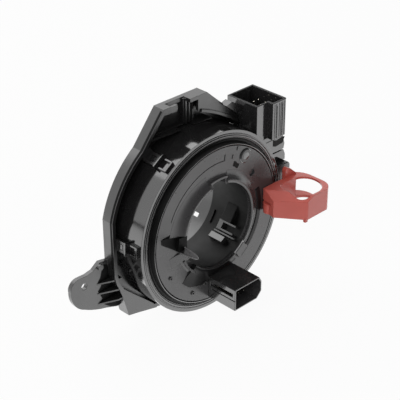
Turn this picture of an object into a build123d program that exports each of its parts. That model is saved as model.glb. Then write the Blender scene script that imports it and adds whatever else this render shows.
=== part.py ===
from build123d import *
from math import atan2, cos, degrees, radians, sin
import os

# Steering clock spring: a drum fixed behind the steering wheel, a rotor that turns in it with the wheel,
# and the flat cable that winds between the two.
# Millimetres. The origin is where the bore axis meets the rear edge of the sleeve.
# X is the object's right, Y runs back along the bore axis, Z is up, and the wheel side faces -Y.

os.makedirs("parts", exist_ok=True)

# bore and hub of the rotor
BORE_R = 23.9
HUB_WALL = 2.2
HUB_R = BORE_R + HUB_WALL
JOURNAL_STEP = 0.82
HUB_JOURNAL_R = HUB_R + JOURNAL_STEP
JOURNAL_PLAY = 0.08
LIP_RISE = 1.9
FLARE_WIDTH = 5.3
FLARE_R = BORE_R + FLARE_WIDTH

# drum, with depths counted back from its front edge
DRUM_R = 51.0
DRUM_WALL = 1.7
DRUM_BACK = 21.0
DRUM_FLOOR = 1.6
DRUM_INNER_R = DRUM_R - DRUM_WALL
DRUM_FLOOR_FRONT = DRUM_BACK - DRUM_FLOOR
JOURNAL_R = HUB_JOURNAL_R + JOURNAL_PLAY
JOURNAL_WALL = 2.0
JOURNAL_FRONT = DRUM_FLOOR_FRONT - 1.5

# front cover ring
PRESS_GAP = 0.05
COVER_R = DRUM_INNER_R - PRESS_GAP
COVER_FLAT_Y = -0.4
COVER_RIM_Y = -3.0
COVER_FLAT_WIDTH = 2.35
COVER_SLOPE = 1.9
COVER_LAND = 1.1
COVER_STEP_R = COVER_R - COVER_FLAT_WIDTH
COVER_RIM_R = COVER_STEP_R - COVER_SLOPE
COVER_BORE_R = COVER_RIM_R - COVER_LAND
COVER_SHEET = 1.2
COVER_SKIRT_END = 4.0
COVER_LIP_END = 1.0

# rotor disc
ROTOR_GAP = 0.45
ROTOR_R = COVER_BORE_R - ROTOR_GAP
ROTOR_FACE_Y = COVER_RIM_Y + 0.1
ROTOR_SHEET = 1.7
ROTOR_BACK_Y = ROTOR_FACE_Y + ROTOR_SHEET
ROTOR_SKIRT = 1.55
ROTOR_SKIRT_END = 0.2
LIP_Y = ROTOR_FACE_Y - LIP_RISE
HUB_END = DRUM_BACK + 3.0
HUB_JOURNAL_FRONT = JOURNAL_FRONT - 1.3
KEYWAY_DEPTH = 6.0
ENGRAVE = 0.4
FINGER_LENGTH = 12.0

# rear sleeve
SLEEVE_STEP = 1.3
SLEEVE_BORE_R = BORE_R + SLEEVE_STEP
SLEEVE_WALL = 2.6
SLEEVE_R = SLEEVE_BORE_R + SLEEVE_WALL
SLEEVE_END = HUB_END + 10.0
FLANGE_WIDTH = 1.6
FLANGE_R = SLEEVE_R + FLANGE_WIDTH
FLANGE_PLAY = 0.4
FLANGE_FRONT = DRUM_BACK + FLANGE_PLAY
FLANGE_THICK = 1.6
SLEEVE_SLOTS = (-40.0, 140.0)
SLEEVE_SLOT_DEPTH = 5.0

# the origin is in the plane of the sleeve's rear edge
DRUM_FRONT_Y = -SLEEVE_END

# stator connector, open at the top
SEAT_GAP = 0.05
SOCKET_LEFT = DRUM_R - 16.5
SOCKET_RIGHT = SOCKET_LEFT + 19.5
SOCKET_STEP_X = SOCKET_LEFT + 8.5
SOCKET_BASE = DRUM_R - 18.0
SOCKET_TOP = SOCKET_BASE + 21.0
SOCKET_FRONT = 2.1
SOCKET_BACK = 23.7
SOCKET_STEP_Y = -1.3
SOCKET_WALL = 1.3
SOCKET_FLOOR_Z = SOCKET_BASE + 6.0
SOCKET_ROOM = 1.3

# terminal boxes on the right of the drum, under the connector
TERMINAL_FRONT = 5.5
TERMINAL_BACK = DRUM_BACK - 1.0
TERMINAL_STEP = 1.4
NECK_HEIGHT = 5.4
UPPER_BOX_TOP = SOCKET_BASE - NECK_HEIGHT
UPPER_BOX_BASE = UPPER_BOX_TOP - 8.0
UPPER_BOX_X = DRUM_R + 9.2
BOX_GROOVE = 0.8
LOWER_BOX_TOP = UPPER_BOX_BASE - BOX_GROOVE
LOWER_BOX_BASE = LOWER_BOX_TOP - 6.2
LOWER_BOX_X = DRUM_R + 10.4
TOE_X = DRUM_R + 5.5
TOE_BASE = LOWER_BOX_BASE - 9.0

# connector pins
PIN_WIDTH = 0.64
PIN_PITCH = 3.6
PIN_ROW = 5.2
PIN_PLAY = 0.02
PIN_TIP = 0.2
STATOR_PIN_CENTRE = (SOCKET_LEFT + 10.5, SOCKET_FRONT + 11.1)
STATOR_PIN_BASE = SOCKET_FLOOR_Z - 3.5
STATOR_PIN_TOP = SOCKET_FLOOR_Z + 10.0

# rear frame
FRAME_FLOOR = 1.5
FRAME_FLOOR_Y = DRUM_BACK
FRAME_BACK = FRAME_FLOOR_Y + FRAME_FLOOR
FRAME_FRONT = FRAME_FLOOR_Y - 6.0
FRAME_WALL = 2.1
FRAME_HOLE_R = FLANGE_R + 0.6
DRUM_ROOM = 0.3
TOP_NOTCH_Y = FRAME_FLOOR_Y - 1.2
FACE_PLATE = 1.8
FLOOR_RIB = 0.9
POST_LEFT = -3.0
POST_RIGHT = 4.4
RIM_RISE = 0.9

# screw ear
EAR_THICK = 2.4
EAR_FRONT = FRAME_BACK - EAR_THICK
EAR_HOLE_R = 1.9
EAR_MARGIN = 23.65
EAR_ANGLE = 192.06
EAR_HOLE_SHIFT = (1.2, -0.2)
EAR_RIB = 0.9
EAR_RIB_RISE = 4.4

# snap hooks between drum and frame
LATCH_ANGLES = (176.6, 124.0, -10.0, -48.0)
LATCH_WIDTH = 6.4
LATCH_STAND = 1.3
LATCH_THICK = 1.3
LATCH_INNER_R = DRUM_R + LATCH_STAND
LATCH_OUTER_R = LATCH_INNER_R + LATCH_THICK
LATCH_ROOT = 4.0
LATCH_REACH = 5.4
LATCH_FRONT = FRAME_FRONT - LATCH_REACH
LATCH_RAIL = 1.5
LATCH_BAR = 1.3
NUB_PLAY = 0.3
NUB_LENGTH = 2.4
GUARD_THICK = 0.9
GUARD_RISE = 3.2
GUARD_GAP = 0.5
GUARD_WIDTH = 7.8
CATCH_FRONT = 1.6
CATCH_RISE = 1.5
CATCH_HALF = 2.7

# rotor connector, open at the front
PLUG_MOUTH_Y = ROTOR_FACE_Y - 19.6
PLUG_TOP = -(FLARE_R + 0.1)
PLUG_BASE = -(ROTOR_R - 1.15)
PLUG_LEFT = -6.5
PLUG_RIGHT = 14.0
PLUG_WALL = 1.2
PLUG_FLOOR_Y = ROTOR_FACE_Y - 2.7
PLUG_CHAMFER = 4.0
ROTOR_PIN_CENTRE = (PLUG_LEFT + 9.1, (PLUG_TOP + PLUG_BASE) / 2)
ROTOR_PIN_PITCH = 4.0
ROTOR_PIN_ROW = 4.4
ROTOR_PIN_TIP_Y = PLUG_MOUTH_Y + 6.0

# flat cable cassette
CARRIER_PLAY = 0.4
CARRIER_THICK = 1.2
CARRIER_ANGLE = -85.0
CARRIER_HALF = 9.0
COLUMN_THICK = 4.4
COLUMN_R = HUB_R + CARRIER_PLAY + COLUMN_THICK
COLUMN_END = HUB_JOURNAL_FRONT - CARRIER_PLAY
FOOT_THICK = 0.9
CABLE_THICK = 0.4
CABLE_INNER_R = COLUMN_R + CARRIER_PLAY + CABLE_THICK / 2
PLATE_INNER_R = DRUM_INNER_R - SEAT_GAP - CARRIER_THICK
PLATE_RIB = 0.7
PLATE_FRONT = COVER_SKIRT_END + 0.3
CABLE_END_R = PLATE_INNER_R - PLATE_RIB - 0.25
CABLE_TURNS = 3
CABLE_START_ANGLE = CARRIER_ANGLE + CARRIER_HALF + 2.0
CABLE_LAST_SWEEP = 122.0
CABLE_FRONT = COVER_LIP_END + 0.5
CABLE_BACK = DRUM_FLOOR_FRONT - 0.7
FILM_THICK = 0.25
REAR_FILM_R = DRUM_INNER_R - 0.5
FRONT_FILM_R = ROTOR_R - ROTOR_SKIRT - 0.3

# transport lock, placed from the rotor's edge and standing clear of the cover's rim
LOCK_CLEAR = 0.3
LOCK_BACK = COVER_RIM_Y - LOCK_CLEAR
LOCK_LEFT = ROTOR_R - 10.85
LOCK_TOP = 8.0
LOCK_BASE = -5.5
LOCK_BAR = 1.8
LOCK_RAIL = 1.5
LOCK_STEP_X = 18.8
LOCK_STEP_Y = 1.6
LOCK_EDGE_Z = 4.4
PRONG_LEFT = LOCK_LEFT + 4.0
PRONG_RIGHT = LOCK_LEFT + 7.8
PRONG_BASE = -1.6
PRONG_TOP = 4.6
PRONG_END = ROTOR_BACK_Y - 0.5
COVER_PRONG_LEFT = COVER_STEP_R + 0.7
COVER_PRONG_RIGHT = COVER_STEP_R + 1.7
COVER_PRONG_BASE = 0.2
COVER_PRONG_TOP = 4.8
COVER_PRONG_END = COVER_FLAT_Y - 0.4


def polar(radius, angle):
    """Point at a radius and an angle from the right."""
    return (radius * cos(radians(angle)), radius * sin(radians(angle)))


def beyond(margin, angle):
    """Point at a margin outside the drum's wall."""
    return polar(DRUM_R + margin, angle)


def at_depth(y):
    """Sketch plane at a depth behind the drum's front edge; its x is X, its y is Z, and it faces forward."""
    return Plane.XZ.offset(-(DRUM_FRONT_Y + y))


def level(z):
    """Sketch plane at a height; its x is X and its y is the depth behind the drum's front edge."""
    return Plane((0, DRUM_FRONT_Y, z))


def turned(points):
    """Closed section of (radius, depth) points for turning about the bore axis."""
    with BuildSketch(level(0)) as section:
        with BuildLine():
            Polyline(*points, close=True)
        make_face()
    return section.sketch


def face_of(y, points):
    """Straight-sided outline of (X, Z) points at depth y."""
    with BuildSketch(at_depth(y)) as outline:
        with BuildLine():
            Polyline(*points, close=True)
        make_face()
    return outline.sketch


def ring_part(y, inner, outer, start, sweep):
    """Piece of a ring at depth y, from the start angle over the sweep."""
    with BuildSketch(at_depth(y)) as sector:
        with BuildLine():
            CenterArc((0, 0), outer, start, sweep)
            CenterArc((0, 0), inner, start, sweep)
            Line(polar(inner, start), polar(outer, start))
            Line(polar(inner, start + sweep), polar(outer, start + sweep))
        make_face()
    return sector.sketch


def tangent_bar(y, angle, inner, outer, width, shift=0.0):
    """Rectangle at depth y that spans two radii at an angle, shifted along the rim."""
    with BuildSketch(at_depth(y)) as bar:
        with Locations(Location((0, 0, 0), (0, 0, angle))):
            with Locations(((inner + outer) / 2, shift)):
                Rectangle(outer - inner, width)
    return bar.sketch


def bar_between(y, start, end, width):
    """Straight bar at depth y between two (X, Z) points."""
    run = Vector(*end) - Vector(*start)
    middle = (Vector(*end) + Vector(*start)) * 0.5
    with BuildSketch(at_depth(y)) as bar:
        with Locations(Location((middle.X, middle.Y, 0), (0, 0, degrees(atan2(run.Y, run.X))))):
            Rectangle(run.length, width)
    return bar.sketch


# Drum: side wall, rear floor and the journal collar of the rotor in one turned section.
with BuildPart() as drum_housing:
    collar_r = JOURNAL_R + JOURNAL_WALL
    drum_section = [
        (JOURNAL_R, DRUM_BACK), (DRUM_R, DRUM_BACK), (DRUM_R, 0), (DRUM_INNER_R, 0),
        (DRUM_INNER_R, DRUM_FLOOR_FRONT), (collar_r, DRUM_FLOOR_FRONT), (collar_r, JOURNAL_FRONT),
        (JOURNAL_R, JOURNAL_FRONT),
    ]
    revolve(turned(drum_section), axis=Axis.Y)
    # two stepped terminal boxes under the connector
    box_root = DRUM_R - 12.0
    upper_box = [
        (box_root, UPPER_BOX_BASE), (UPPER_BOX_X, UPPER_BOX_BASE), (UPPER_BOX_X + 0.6, UPPER_BOX_BASE + 3.0),
        (UPPER_BOX_X - 0.8, UPPER_BOX_TOP), (box_root, UPPER_BOX_TOP),
    ]
    lower_box = [
        (box_root, TOE_BASE), (TOE_X, TOE_BASE), (TOE_X, LOWER_BOX_BASE), (LOWER_BOX_X, LOWER_BOX_BASE),
        (LOWER_BOX_X, LOWER_BOX_BASE + 3.2), (UPPER_BOX_X, LOWER_BOX_TOP), (box_root, LOWER_BOX_TOP),
    ]
    box_depth = TERMINAL_BACK - TERMINAL_FRONT
    extrude(face_of(TERMINAL_BACK, upper_box), amount=box_depth)
    extrude(face_of(TERMINAL_BACK, lower_box), amount=box_depth)
    # the groove between the boxes is only skin deep, so a web joins them behind it
    web_x = UPPER_BOX_X - TERMINAL_STEP
    web = [(box_root, LOWER_BOX_TOP), (web_x, LOWER_BOX_TOP), (web_x, UPPER_BOX_BASE),
           (box_root, UPPER_BOX_BASE)]
    extrude(face_of(TERMINAL_BACK, web), amount=box_depth - TERMINAL_STEP)
    # the cassette space runs clear through whatever the boxes put inside the wall
    cassette = [(collar_r, DRUM_FLOOR_FRONT), (DRUM_INNER_R, DRUM_FLOOR_FRONT), (DRUM_INNER_R, 0),
                (collar_r, 0)]
    revolve(turned(cassette), axis=Axis.Y, mode=Mode.SUBTRACT)
    # nub and guard of each snap hook
    wall_mid = DRUM_R - DRUM_WALL / 2
    nub_front = LATCH_FRONT + LATCH_BAR + NUB_PLAY
    nub_width = LATCH_WIDTH - 2 * LATCH_RAIL - 2 * NUB_PLAY
    guard_front = LATCH_FRONT - GUARD_GAP - GUARD_THICK
    for angle in LATCH_ANGLES:
        nub = tangent_bar(nub_front + NUB_LENGTH, angle, wall_mid, LATCH_OUTER_R, nub_width)
        extrude(nub, amount=NUB_LENGTH)
        guard_y = guard_front + GUARD_THICK
        guard = tangent_bar(guard_y, angle, wall_mid, DRUM_R + GUARD_RISE, GUARD_WIDTH)
        extrude(guard, amount=GUARD_THICK)
        for shift in (-CATCH_HALF, CATCH_HALF):
            rail = tangent_bar(guard_y, angle, wall_mid, DRUM_R + CATCH_RISE, GUARD_THICK, shift)
            extrude(rail, amount=guard_y - CATCH_FRONT)
        end_width = 2 * CATCH_HALF + GUARD_THICK
        catch_end = tangent_bar(CATCH_FRONT + GUARD_THICK, angle, wall_mid, DRUM_R + CATCH_RISE, end_width)
        extrude(catch_end, amount=GUARD_THICK)
drum_housing.part.label = "drum_housing"
export_step(drum_housing.part, "parts/drum_housing.step")


# Front cover: a stepped ring pressed into the drum, with a raised rim around the rotor.
with BuildPart() as front_cover:
    lip_r = COVER_BORE_R + COVER_SHEET
    under_y = COVER_FLAT_Y + COVER_SHEET
    cover_section = [
        (COVER_R, COVER_SKIRT_END), (COVER_R, COVER_FLAT_Y), (COVER_STEP_R, COVER_FLAT_Y),
        (COVER_RIM_R, COVER_RIM_Y), (COVER_BORE_R, COVER_RIM_Y), (COVER_BORE_R, COVER_LIP_END),
        (lip_r, COVER_LIP_END), (lip_r, COVER_RIM_Y + COVER_SHEET), (COVER_STEP_R - 0.4, under_y),
        (COVER_R - COVER_SHEET, under_y), (COVER_R - COVER_SHEET, COVER_SKIRT_END),
    ]
    revolve(turned(cover_section), axis=Axis.Y)
    # window under the transport lock, and the short slot in the ring's edge
    window_play = 0.3
    window = [(COVER_PRONG_LEFT - window_play, COVER_PRONG_BASE - window_play),
              (COVER_PRONG_RIGHT + window_play, COVER_PRONG_BASE - window_play),
              (COVER_PRONG_RIGHT + window_play, COVER_PRONG_TOP + window_play),
              (COVER_PRONG_LEFT - window_play, COVER_PRONG_TOP + window_play)]
    extrude(face_of(under_y, window), amount=COVER_SHEET, mode=Mode.SUBTRACT)
    slot = ring_part(COVER_FLAT_Y + 0.6, COVER_STEP_R + 0.6, COVER_R + 1.0, 63.0, 4.0)
    extrude(slot, amount=0.6, mode=Mode.SUBTRACT)
front_cover.part.label = "front_cover"
export_step(front_cover.part, "parts/front_cover.step")


def tray_outline(y, inset):
    """Outline of the rear frame at depth y, drawn in by an inset; it leaves the connector's corner free."""
    side_x = SOCKET_LEFT - SOCKET_ROOM
    floor_edge_r = DRUM_R - 0.6
    with BuildSketch(at_depth(y)) as outline:
        with BuildLine():
            Polyline(beyond(18.3, 106.3), beyond(16.3, 81.0), beyond(8.6, 66.6), (side_x, DRUM_R - 5.6),
                     (side_x, DRUM_R - 13.0), polar(floor_edge_r, 46.0))
            CenterArc((0, 0), floor_edge_r, 24.0, 22.0)
            Polyline(polar(floor_edge_r, 24.0), beyond(8.6, 20.0), beyond(7.5, -17.0), beyond(7.1, -28.6),
                     beyond(8.7, -32.2), beyond(13.1, -42.2), beyond(1.8, -90.0), beyond(13.1, 222.2),
                     beyond(8.7, 212.2), beyond(7.1, 208.6), beyond(7.5, 201.0), beyond(7.0, 195.5),
                     beyond(7.2, 164.0))
            ThreePointArc(beyond(7.2, 164.0), beyond(7.8, 146.0), beyond(8.4, 125.1))
            Polyline(beyond(8.4, 125.1), beyond(13.2, 113.7), beyond(18.3, 106.3))
        make_face()
        if inset:
            offset(amount=-inset, mode=Mode.REPLACE)
    return outline.sketch


# Rear frame: a shallow tray behind the drum with walls, a screw ear, snap loops and a corner plate.
with BuildPart() as rear_frame:
    tray_depth = FRAME_FLOOR_Y - FRAME_FRONT
    extrude(tray_outline(FRAME_BACK, 0), amount=FRAME_BACK - FRAME_FRONT)
    extrude(tray_outline(FRAME_FLOOR_Y, FRAME_WALL), amount=tray_depth, mode=Mode.SUBTRACT)
    # room for the drum, the connector and the terminal boxes
    room_r = DRUM_R + DRUM_ROOM
    revolve(turned([(0, FRAME_FLOOR_Y), (room_r, FRAME_FLOOR_Y), (room_r, 0), (0, 0)]), axis=Axis.Y,
            mode=Mode.SUBTRACT)
    gap_x = SOCKET_LEFT - SOCKET_ROOM / 2
    side_gap = [(DRUM_R - 11.0, TOE_BASE - 1.5), (LOWER_BOX_X + 9.0, TOE_BASE - 1.5),
                (LOWER_BOX_X + 9.0, SOCKET_TOP + 6.0), (gap_x, SOCKET_TOP + 6.0), (gap_x, SOCKET_BASE - 3.0)]
    extrude(face_of(FRAME_FLOOR_Y, side_gap), amount=tray_depth, mode=Mode.SUBTRACT)
    with BuildSketch(at_depth(FRAME_BACK)):
        Circle(FRAME_HOLE_R)
    extrude(amount=FRAME_FLOOR, mode=Mode.SUBTRACT)
    # the top wall is cut back over part of its length
    notch_base = DRUM_R + 9.0
    notch = [(-14.6, notch_base), (-1.4, notch_base), (-1.4, notch_base + 10.0), (-14.6, notch_base + 10.0)]
    extrude(face_of(TOP_NOTCH_Y, notch), amount=TOP_NOTCH_Y - FRAME_FRONT, mode=Mode.SUBTRACT)
    # front-plane corner plate with a raised rim along its curved edge
    plate_low = (SOCKET_LEFT - SOCKET_ROOM, DRUM_R - 9.8)
    plate_side = (SOCKET_LEFT - SOCKET_ROOM, DRUM_R - 5.6)
    with BuildSketch(at_depth(FRAME_FRONT + FACE_PLATE)):
        with BuildLine():
            Polyline(plate_low, plate_side, beyond(8.6, 66.6), beyond(16.3, 81.0), beyond(15.6, 86.4),
                     beyond(7.2, 85.9), beyond(6.2, 84.5))
            ThreePointArc(beyond(6.2, 84.5), beyond(3.5, 70.5), plate_low)
        make_face()
    extrude(amount=FACE_PLATE)
    with BuildSketch(at_depth(FRAME_FRONT)):
        with BuildLine():
            ThreePointArc(beyond(6.2, 84.5), beyond(3.5, 70.5), plate_low)
            Line(plate_low, (plate_low[0], plate_low[1] + FACE_PLATE))
            ThreePointArc((plate_low[0], plate_low[1] + FACE_PLATE), beyond(5.1, 70.5), beyond(7.8, 84.1))
            Line(beyond(7.8, 84.1), beyond(6.2, 84.5))
        make_face()
    extrude(amount=RIM_RISE)
    # ribbed post behind the corner plate
    post_base = DRUM_R + 0.8
    post_height = 14.2
    post = [(POST_LEFT, post_base), (POST_RIGHT, post_base), (POST_RIGHT, post_base + post_height),
            (POST_LEFT, post_base + post_height)]
    extrude(face_of(FRAME_FLOOR_Y, post), amount=2.4)
    with BuildSketch(at_depth(FRAME_FLOOR_Y)):
        with Locations(((POST_LEFT + POST_RIGHT) / 2, post_base + post_height / 2)):
            with GridLocations(2.3, 1, 3, 1):
                Rectangle(FLOOR_RIB, post_height)
    extrude(amount=3.2)
    # gusset in the top left corner, rounded at its inner end
    corner_x, corner_z = beyond(18.3, 106.3)
    with BuildSketch(at_depth(FRAME_FRONT + FACE_PLATE)):
        with BuildLine():
            Polyline((corner_x + 9.4, corner_z - 2.4), (corner_x + 9.2, corner_z - 0.3),
                     (corner_x + 0.6, corner_z - 0.3), (corner_x - 1.2, corner_z - 3.2),
                     (corner_x + 8.0, corner_z - 3.9))
            ThreePointArc((corner_x + 8.0, corner_z - 3.9), (corner_x + 9.0, corner_z - 3.4),
                          (corner_x + 9.4, corner_z - 2.4))
        make_face()
    extrude(amount=FACE_PLATE)
    # web across the bottom left corner, and its mirror image on the right
    for turn, side in [(0, 1), (180, -1)]:
        web_angles = [201.5, 212.2, 222.2, 239.9, 234.9, 205.5]
        web_margins = [7.2, 8.6, 12.9, 4.0, 2.0, 5.6]
        web = [beyond(margin, turn + side * angle) for margin, angle in zip(web_margins, web_angles)]
        extrude(face_of(FRAME_FRONT + FACE_PLATE, web), amount=FACE_PLATE, dir=(0, -1, 0))
    # ribs on the tray floor
    top_rib_z = DRUM_R + 1.2
    extrude(bar_between(FRAME_FLOOR_Y, (-28.4, top_rib_z), (POST_LEFT, top_rib_z), FLOOR_RIB), amount=2.5)
    extrude(bar_between(FRAME_FLOOR_Y, beyond(7.2, 156.5), beyond(2.8, 156.5), FLOOR_RIB), amount=3.0)
    # snap loops: a root on the tray, two rails and an end bar
    for angle in LATCH_ANGLES:
        root = tangent_bar(FRAME_FLOOR_Y, angle, LATCH_INNER_R, LATCH_OUTER_R + LATCH_ROOT, LATCH_WIDTH)
        extrude(root, amount=tray_depth)
        loop = tangent_bar(FRAME_FRONT, angle, LATCH_INNER_R, LATCH_OUTER_R, LATCH_WIDTH)
        extrude(loop, amount=LATCH_REACH)
        opening = tangent_bar(FRAME_FRONT - 1.0, angle, LATCH_INNER_R - 1.0, LATCH_OUTER_R + 1.0,
                              LATCH_WIDTH - 2 * LATCH_RAIL)
        extrude(opening, amount=LATCH_REACH - 1.0 - LATCH_BAR, mode=Mode.SUBTRACT)
    # screw ear on the lower left with its boss and gusset ribs
    ear_x, ear_z = beyond(EAR_MARGIN, EAR_ANGLE)

    def ear(dx, dz):
        """Point placed from the middle of the ear's round end."""
        return (ear_x + dx, ear_z + dz)

    with BuildSketch(at_depth(FRAME_BACK)):
        with BuildLine():
            Polyline(beyond(4.0, 187.7), ear(12.0, 9.4), ear(7.5, 6.2), ear(3.0, 5.4), ear(-2.3, 5.6))
            ThreePointArc(ear(-2.3, 5.6), ear(-6.3, 3.6), ear(-7.4, -0.9))
            ThreePointArc(ear(-7.4, -0.9), ear(-5.4, -9.0), ear(0.3, -13.9))
            ThreePointArc(ear(0.3, -13.9), ear(7.0, -17.2), ear(14.5, -19.6))
            Polyline(ear(14.5, -19.6), beyond(12.3, 216.9), beyond(8.0, 212.8), beyond(6.0, 208.7),
                     beyond(6.6, 201.4), beyond(4.0, 187.7))
        make_face()
    extrude(amount=EAR_THICK)
    with BuildSketch(at_depth(EAR_FRONT)):
        with Locations(ear(11.4, 7.0)):
            Circle(1.7)
    extrude(amount=1.5)
    rib_end = -(DRUM_R - 0.4)
    for rib_drop in (-2.8, -8.8, -15.0):
        with BuildSketch(level(ear_z + rib_drop)):
            with BuildLine():
                Polyline((ear_x + 9.0, EAR_FRONT), (rib_end, EAR_FRONT), (rib_end, EAR_FRONT - EAR_RIB_RISE),
                         (rib_end - 2.8, EAR_FRONT - EAR_RIB_RISE), close=True)
            make_face()
        extrude(amount=EAR_RIB / 2, both=True)
    with BuildSketch(at_depth(FRAME_BACK)):
        with Locations(ear(*EAR_HOLE_SHIFT)):
            Circle(EAR_HOLE_R)
    extrude(amount=EAR_THICK, mode=Mode.SUBTRACT)
    # clip tab on the sloped edge, reaching over to the connector's left side
    tab_x = SOCKET_LEFT - 0.2
    tab_z = plate_low[1] + 8.0
    clip = [(tab_x - 12.5, tab_z + 6.4), (tab_x - 8.4, tab_z + 7.6), (tab_x, tab_z + 2.4), (tab_x, tab_z),
            (tab_x - 5.3, tab_z + 0.3)]
    extrude(face_of(FRAME_FRONT + FACE_PLATE, clip), amount=FACE_PLATE + 3.0)
rear_frame.part.label = "rear_frame"
export_step(rear_frame.part, "parts/rear_frame.step")


# Stator connector: a socket that opens upward, with a key step on the right of its front wall.
with BuildPart() as stator_connector:
    with BuildSketch(level(SOCKET_BASE)):
        with BuildLine():
            Polyline((SOCKET_LEFT, SOCKET_FRONT), (SOCKET_STEP_X, SOCKET_FRONT),
                     (SOCKET_STEP_X, SOCKET_STEP_Y), (SOCKET_RIGHT - 1.0, SOCKET_STEP_Y),
                     (SOCKET_RIGHT, SOCKET_STEP_Y + 1.0), (SOCKET_RIGHT, SOCKET_BACK),
                     (SOCKET_LEFT, SOCKET_BACK), close=True)
        make_face()
    extrude(amount=SOCKET_TOP - SOCKET_BASE)
    # neck that stands on the terminal box
    with BuildSketch(level(UPPER_BOX_TOP)):
        with Locations((SOCKET_LEFT + 11.5, (TERMINAL_FRONT + TERMINAL_BACK) / 2)):
            Rectangle(13.0, 14.0)
    extrude(amount=NECK_HEIGHT)
    # cavity with the key step, then the polarising ribs left standing in it
    inner_left = SOCKET_LEFT + SOCKET_WALL
    inner_right = SOCKET_RIGHT - SOCKET_WALL
    inner_back = SOCKET_BACK - SOCKET_WALL
    step_inner = SOCKET_STEP_X + SOCKET_WALL
    with BuildSketch(level(SOCKET_FLOOR_Z)):
        with BuildLine():
            Polyline((inner_left, SOCKET_FRONT + SOCKET_WALL), (step_inner, SOCKET_FRONT + SOCKET_WALL),
                     (step_inner, SOCKET_STEP_Y + SOCKET_WALL), (inner_right, SOCKET_STEP_Y + SOCKET_WALL),
                     (inner_right, inner_back), (inner_left, inner_back), close=True)
        make_face()
    extrude(amount=SOCKET_TOP - SOCKET_FLOOR_Z, mode=Mode.SUBTRACT)
    with BuildSketch(level(SOCKET_FLOOR_Z)):
        with Locations((inner_left + 0.5, SOCKET_FRONT + 7.3), (inner_left + 0.5, SOCKET_FRONT + 16.5)):
            Rectangle(1.4, 1.1)
        with Locations((inner_right - 4.1, inner_back - 0.5)):
            Rectangle(1.1, 1.4)
    extrude(amount=SOCKET_TOP - 1.2 - SOCKET_FLOOR_Z)
    # seat on the drum wall
    seat_r = DRUM_R + SEAT_GAP
    drum_seat = [(0, SOCKET_BACK + 5.0), (seat_r, SOCKET_BACK + 5.0), (seat_r, -10.0), (0, -10.0)]
    revolve(turned(drum_seat), axis=Axis.Y, mode=Mode.SUBTRACT)
    # pin holes
    pin_hole = PIN_WIDTH + 2 * PIN_PLAY
    with BuildSketch(level(STATOR_PIN_BASE)):
        with Locations(STATOR_PIN_CENTRE):
            with GridLocations(PIN_PITCH, PIN_ROW, 4, 2):
                Rectangle(pin_hole, pin_hole)
    extrude(amount=SOCKET_FLOOR_Z - STATOR_PIN_BASE, mode=Mode.SUBTRACT)
    # grooves down the front of the key step
    with BuildSketch(level(SOCKET_BASE)):
        with Locations((SOCKET_STEP_X + 3.2, SOCKET_STEP_Y), (SOCKET_STEP_X + 7.6, SOCKET_STEP_Y)):
            Rectangle(0.8, 0.7)
    extrude(amount=SOCKET_TOP - 2.0 - SOCKET_BASE, mode=Mode.SUBTRACT)
stator_connector.part.label = "stator_connector"
export_step(stator_connector.part, "parts/stator_connector.step")


# Contact pins of the stator connector, each pressed up through the floor of the socket.
pin_number = 0
for row in (-0.5, 0.5):
    for column in (-1.5, -0.5, 0.5, 1.5):
        pin_number += 1
        pin_x = STATOR_PIN_CENTRE[0] + column * PIN_PITCH
        pin_y = STATOR_PIN_CENTRE[1] + row * PIN_ROW
        with BuildPart() as stator_pin:
            with BuildSketch(level(STATOR_PIN_BASE)):
                with Locations((pin_x, pin_y)):
                    Rectangle(PIN_WIDTH, PIN_WIDTH)
            extrude(amount=STATOR_PIN_TOP - STATOR_PIN_BASE)
            chamfer(stator_pin.faces().sort_by(Axis.Z)[-1].edges(), PIN_TIP)
        stator_pin.part.label = f"stator_pin_{pin_number}"
        export_step(stator_pin.part, f"parts/stator_pin_{pin_number}.step")


# Outer cable carrier: the terminal plate that takes the cable's outer end into the drum wall.
with BuildPart() as outer_cable_carrier:
    plate_start = CABLE_START_ANGLE + CABLE_LAST_SWEEP - 3.0
    plate_depth = CABLE_BACK - PLATE_FRONT
    plate = ring_part(CABLE_BACK, PLATE_INNER_R, PLATE_INNER_R + CARRIER_THICK, plate_start, 11.0)
    extrude(plate, amount=plate_depth)
    for rib_angle in (plate_start + 7.5, plate_start + 10.0):
        rib = ring_part(CABLE_BACK, PLATE_INNER_R - PLATE_RIB, PLATE_INNER_R, rib_angle, 1.0)
        extrude(rib, amount=plate_depth)
outer_cable_carrier.part.label = "outer_cable_carrier"
export_step(outer_cable_carrier.part, "parts/outer_cable_carrier.step")


# Flat cable: a spiral of half turns on two centres, each half turn a step wider than the last.
with BuildPart() as flat_cable:
    half_turns = 2 * CABLE_TURNS
    turn_step = (CABLE_END_R - CABLE_INNER_R) / half_turns
    with BuildSketch(at_depth(CABLE_BACK)):
        with BuildLine(Plane.XY.rotated((0, 0, CABLE_START_ANGLE))):
            for side in (-CABLE_THICK / 2, CABLE_THICK / 2):
                for half_turn in range(half_turns):
                    arc_centre = (turn_step, 0) if half_turn % 2 else (0, 0)
                    arc_r = CABLE_INNER_R + half_turn * turn_step + side
                    CenterArc(arc_centre, arc_r, 180 * half_turn, 180)
                CenterArc((0, 0), CABLE_END_R + side, 0, CABLE_LAST_SWEEP)
            Line((CABLE_INNER_R - CABLE_THICK / 2, 0), (CABLE_INNER_R + CABLE_THICK / 2, 0))
            Line(polar(CABLE_END_R - CABLE_THICK / 2, CABLE_LAST_SWEEP),
                 polar(CABLE_END_R + CABLE_THICK / 2, CABLE_LAST_SWEEP))
        make_face()
    extrude(amount=CABLE_BACK - CABLE_FRONT)
flat_cable.part.label = "flat_cable"
export_step(flat_cable.part, "parts/flat_cable.step")


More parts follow.
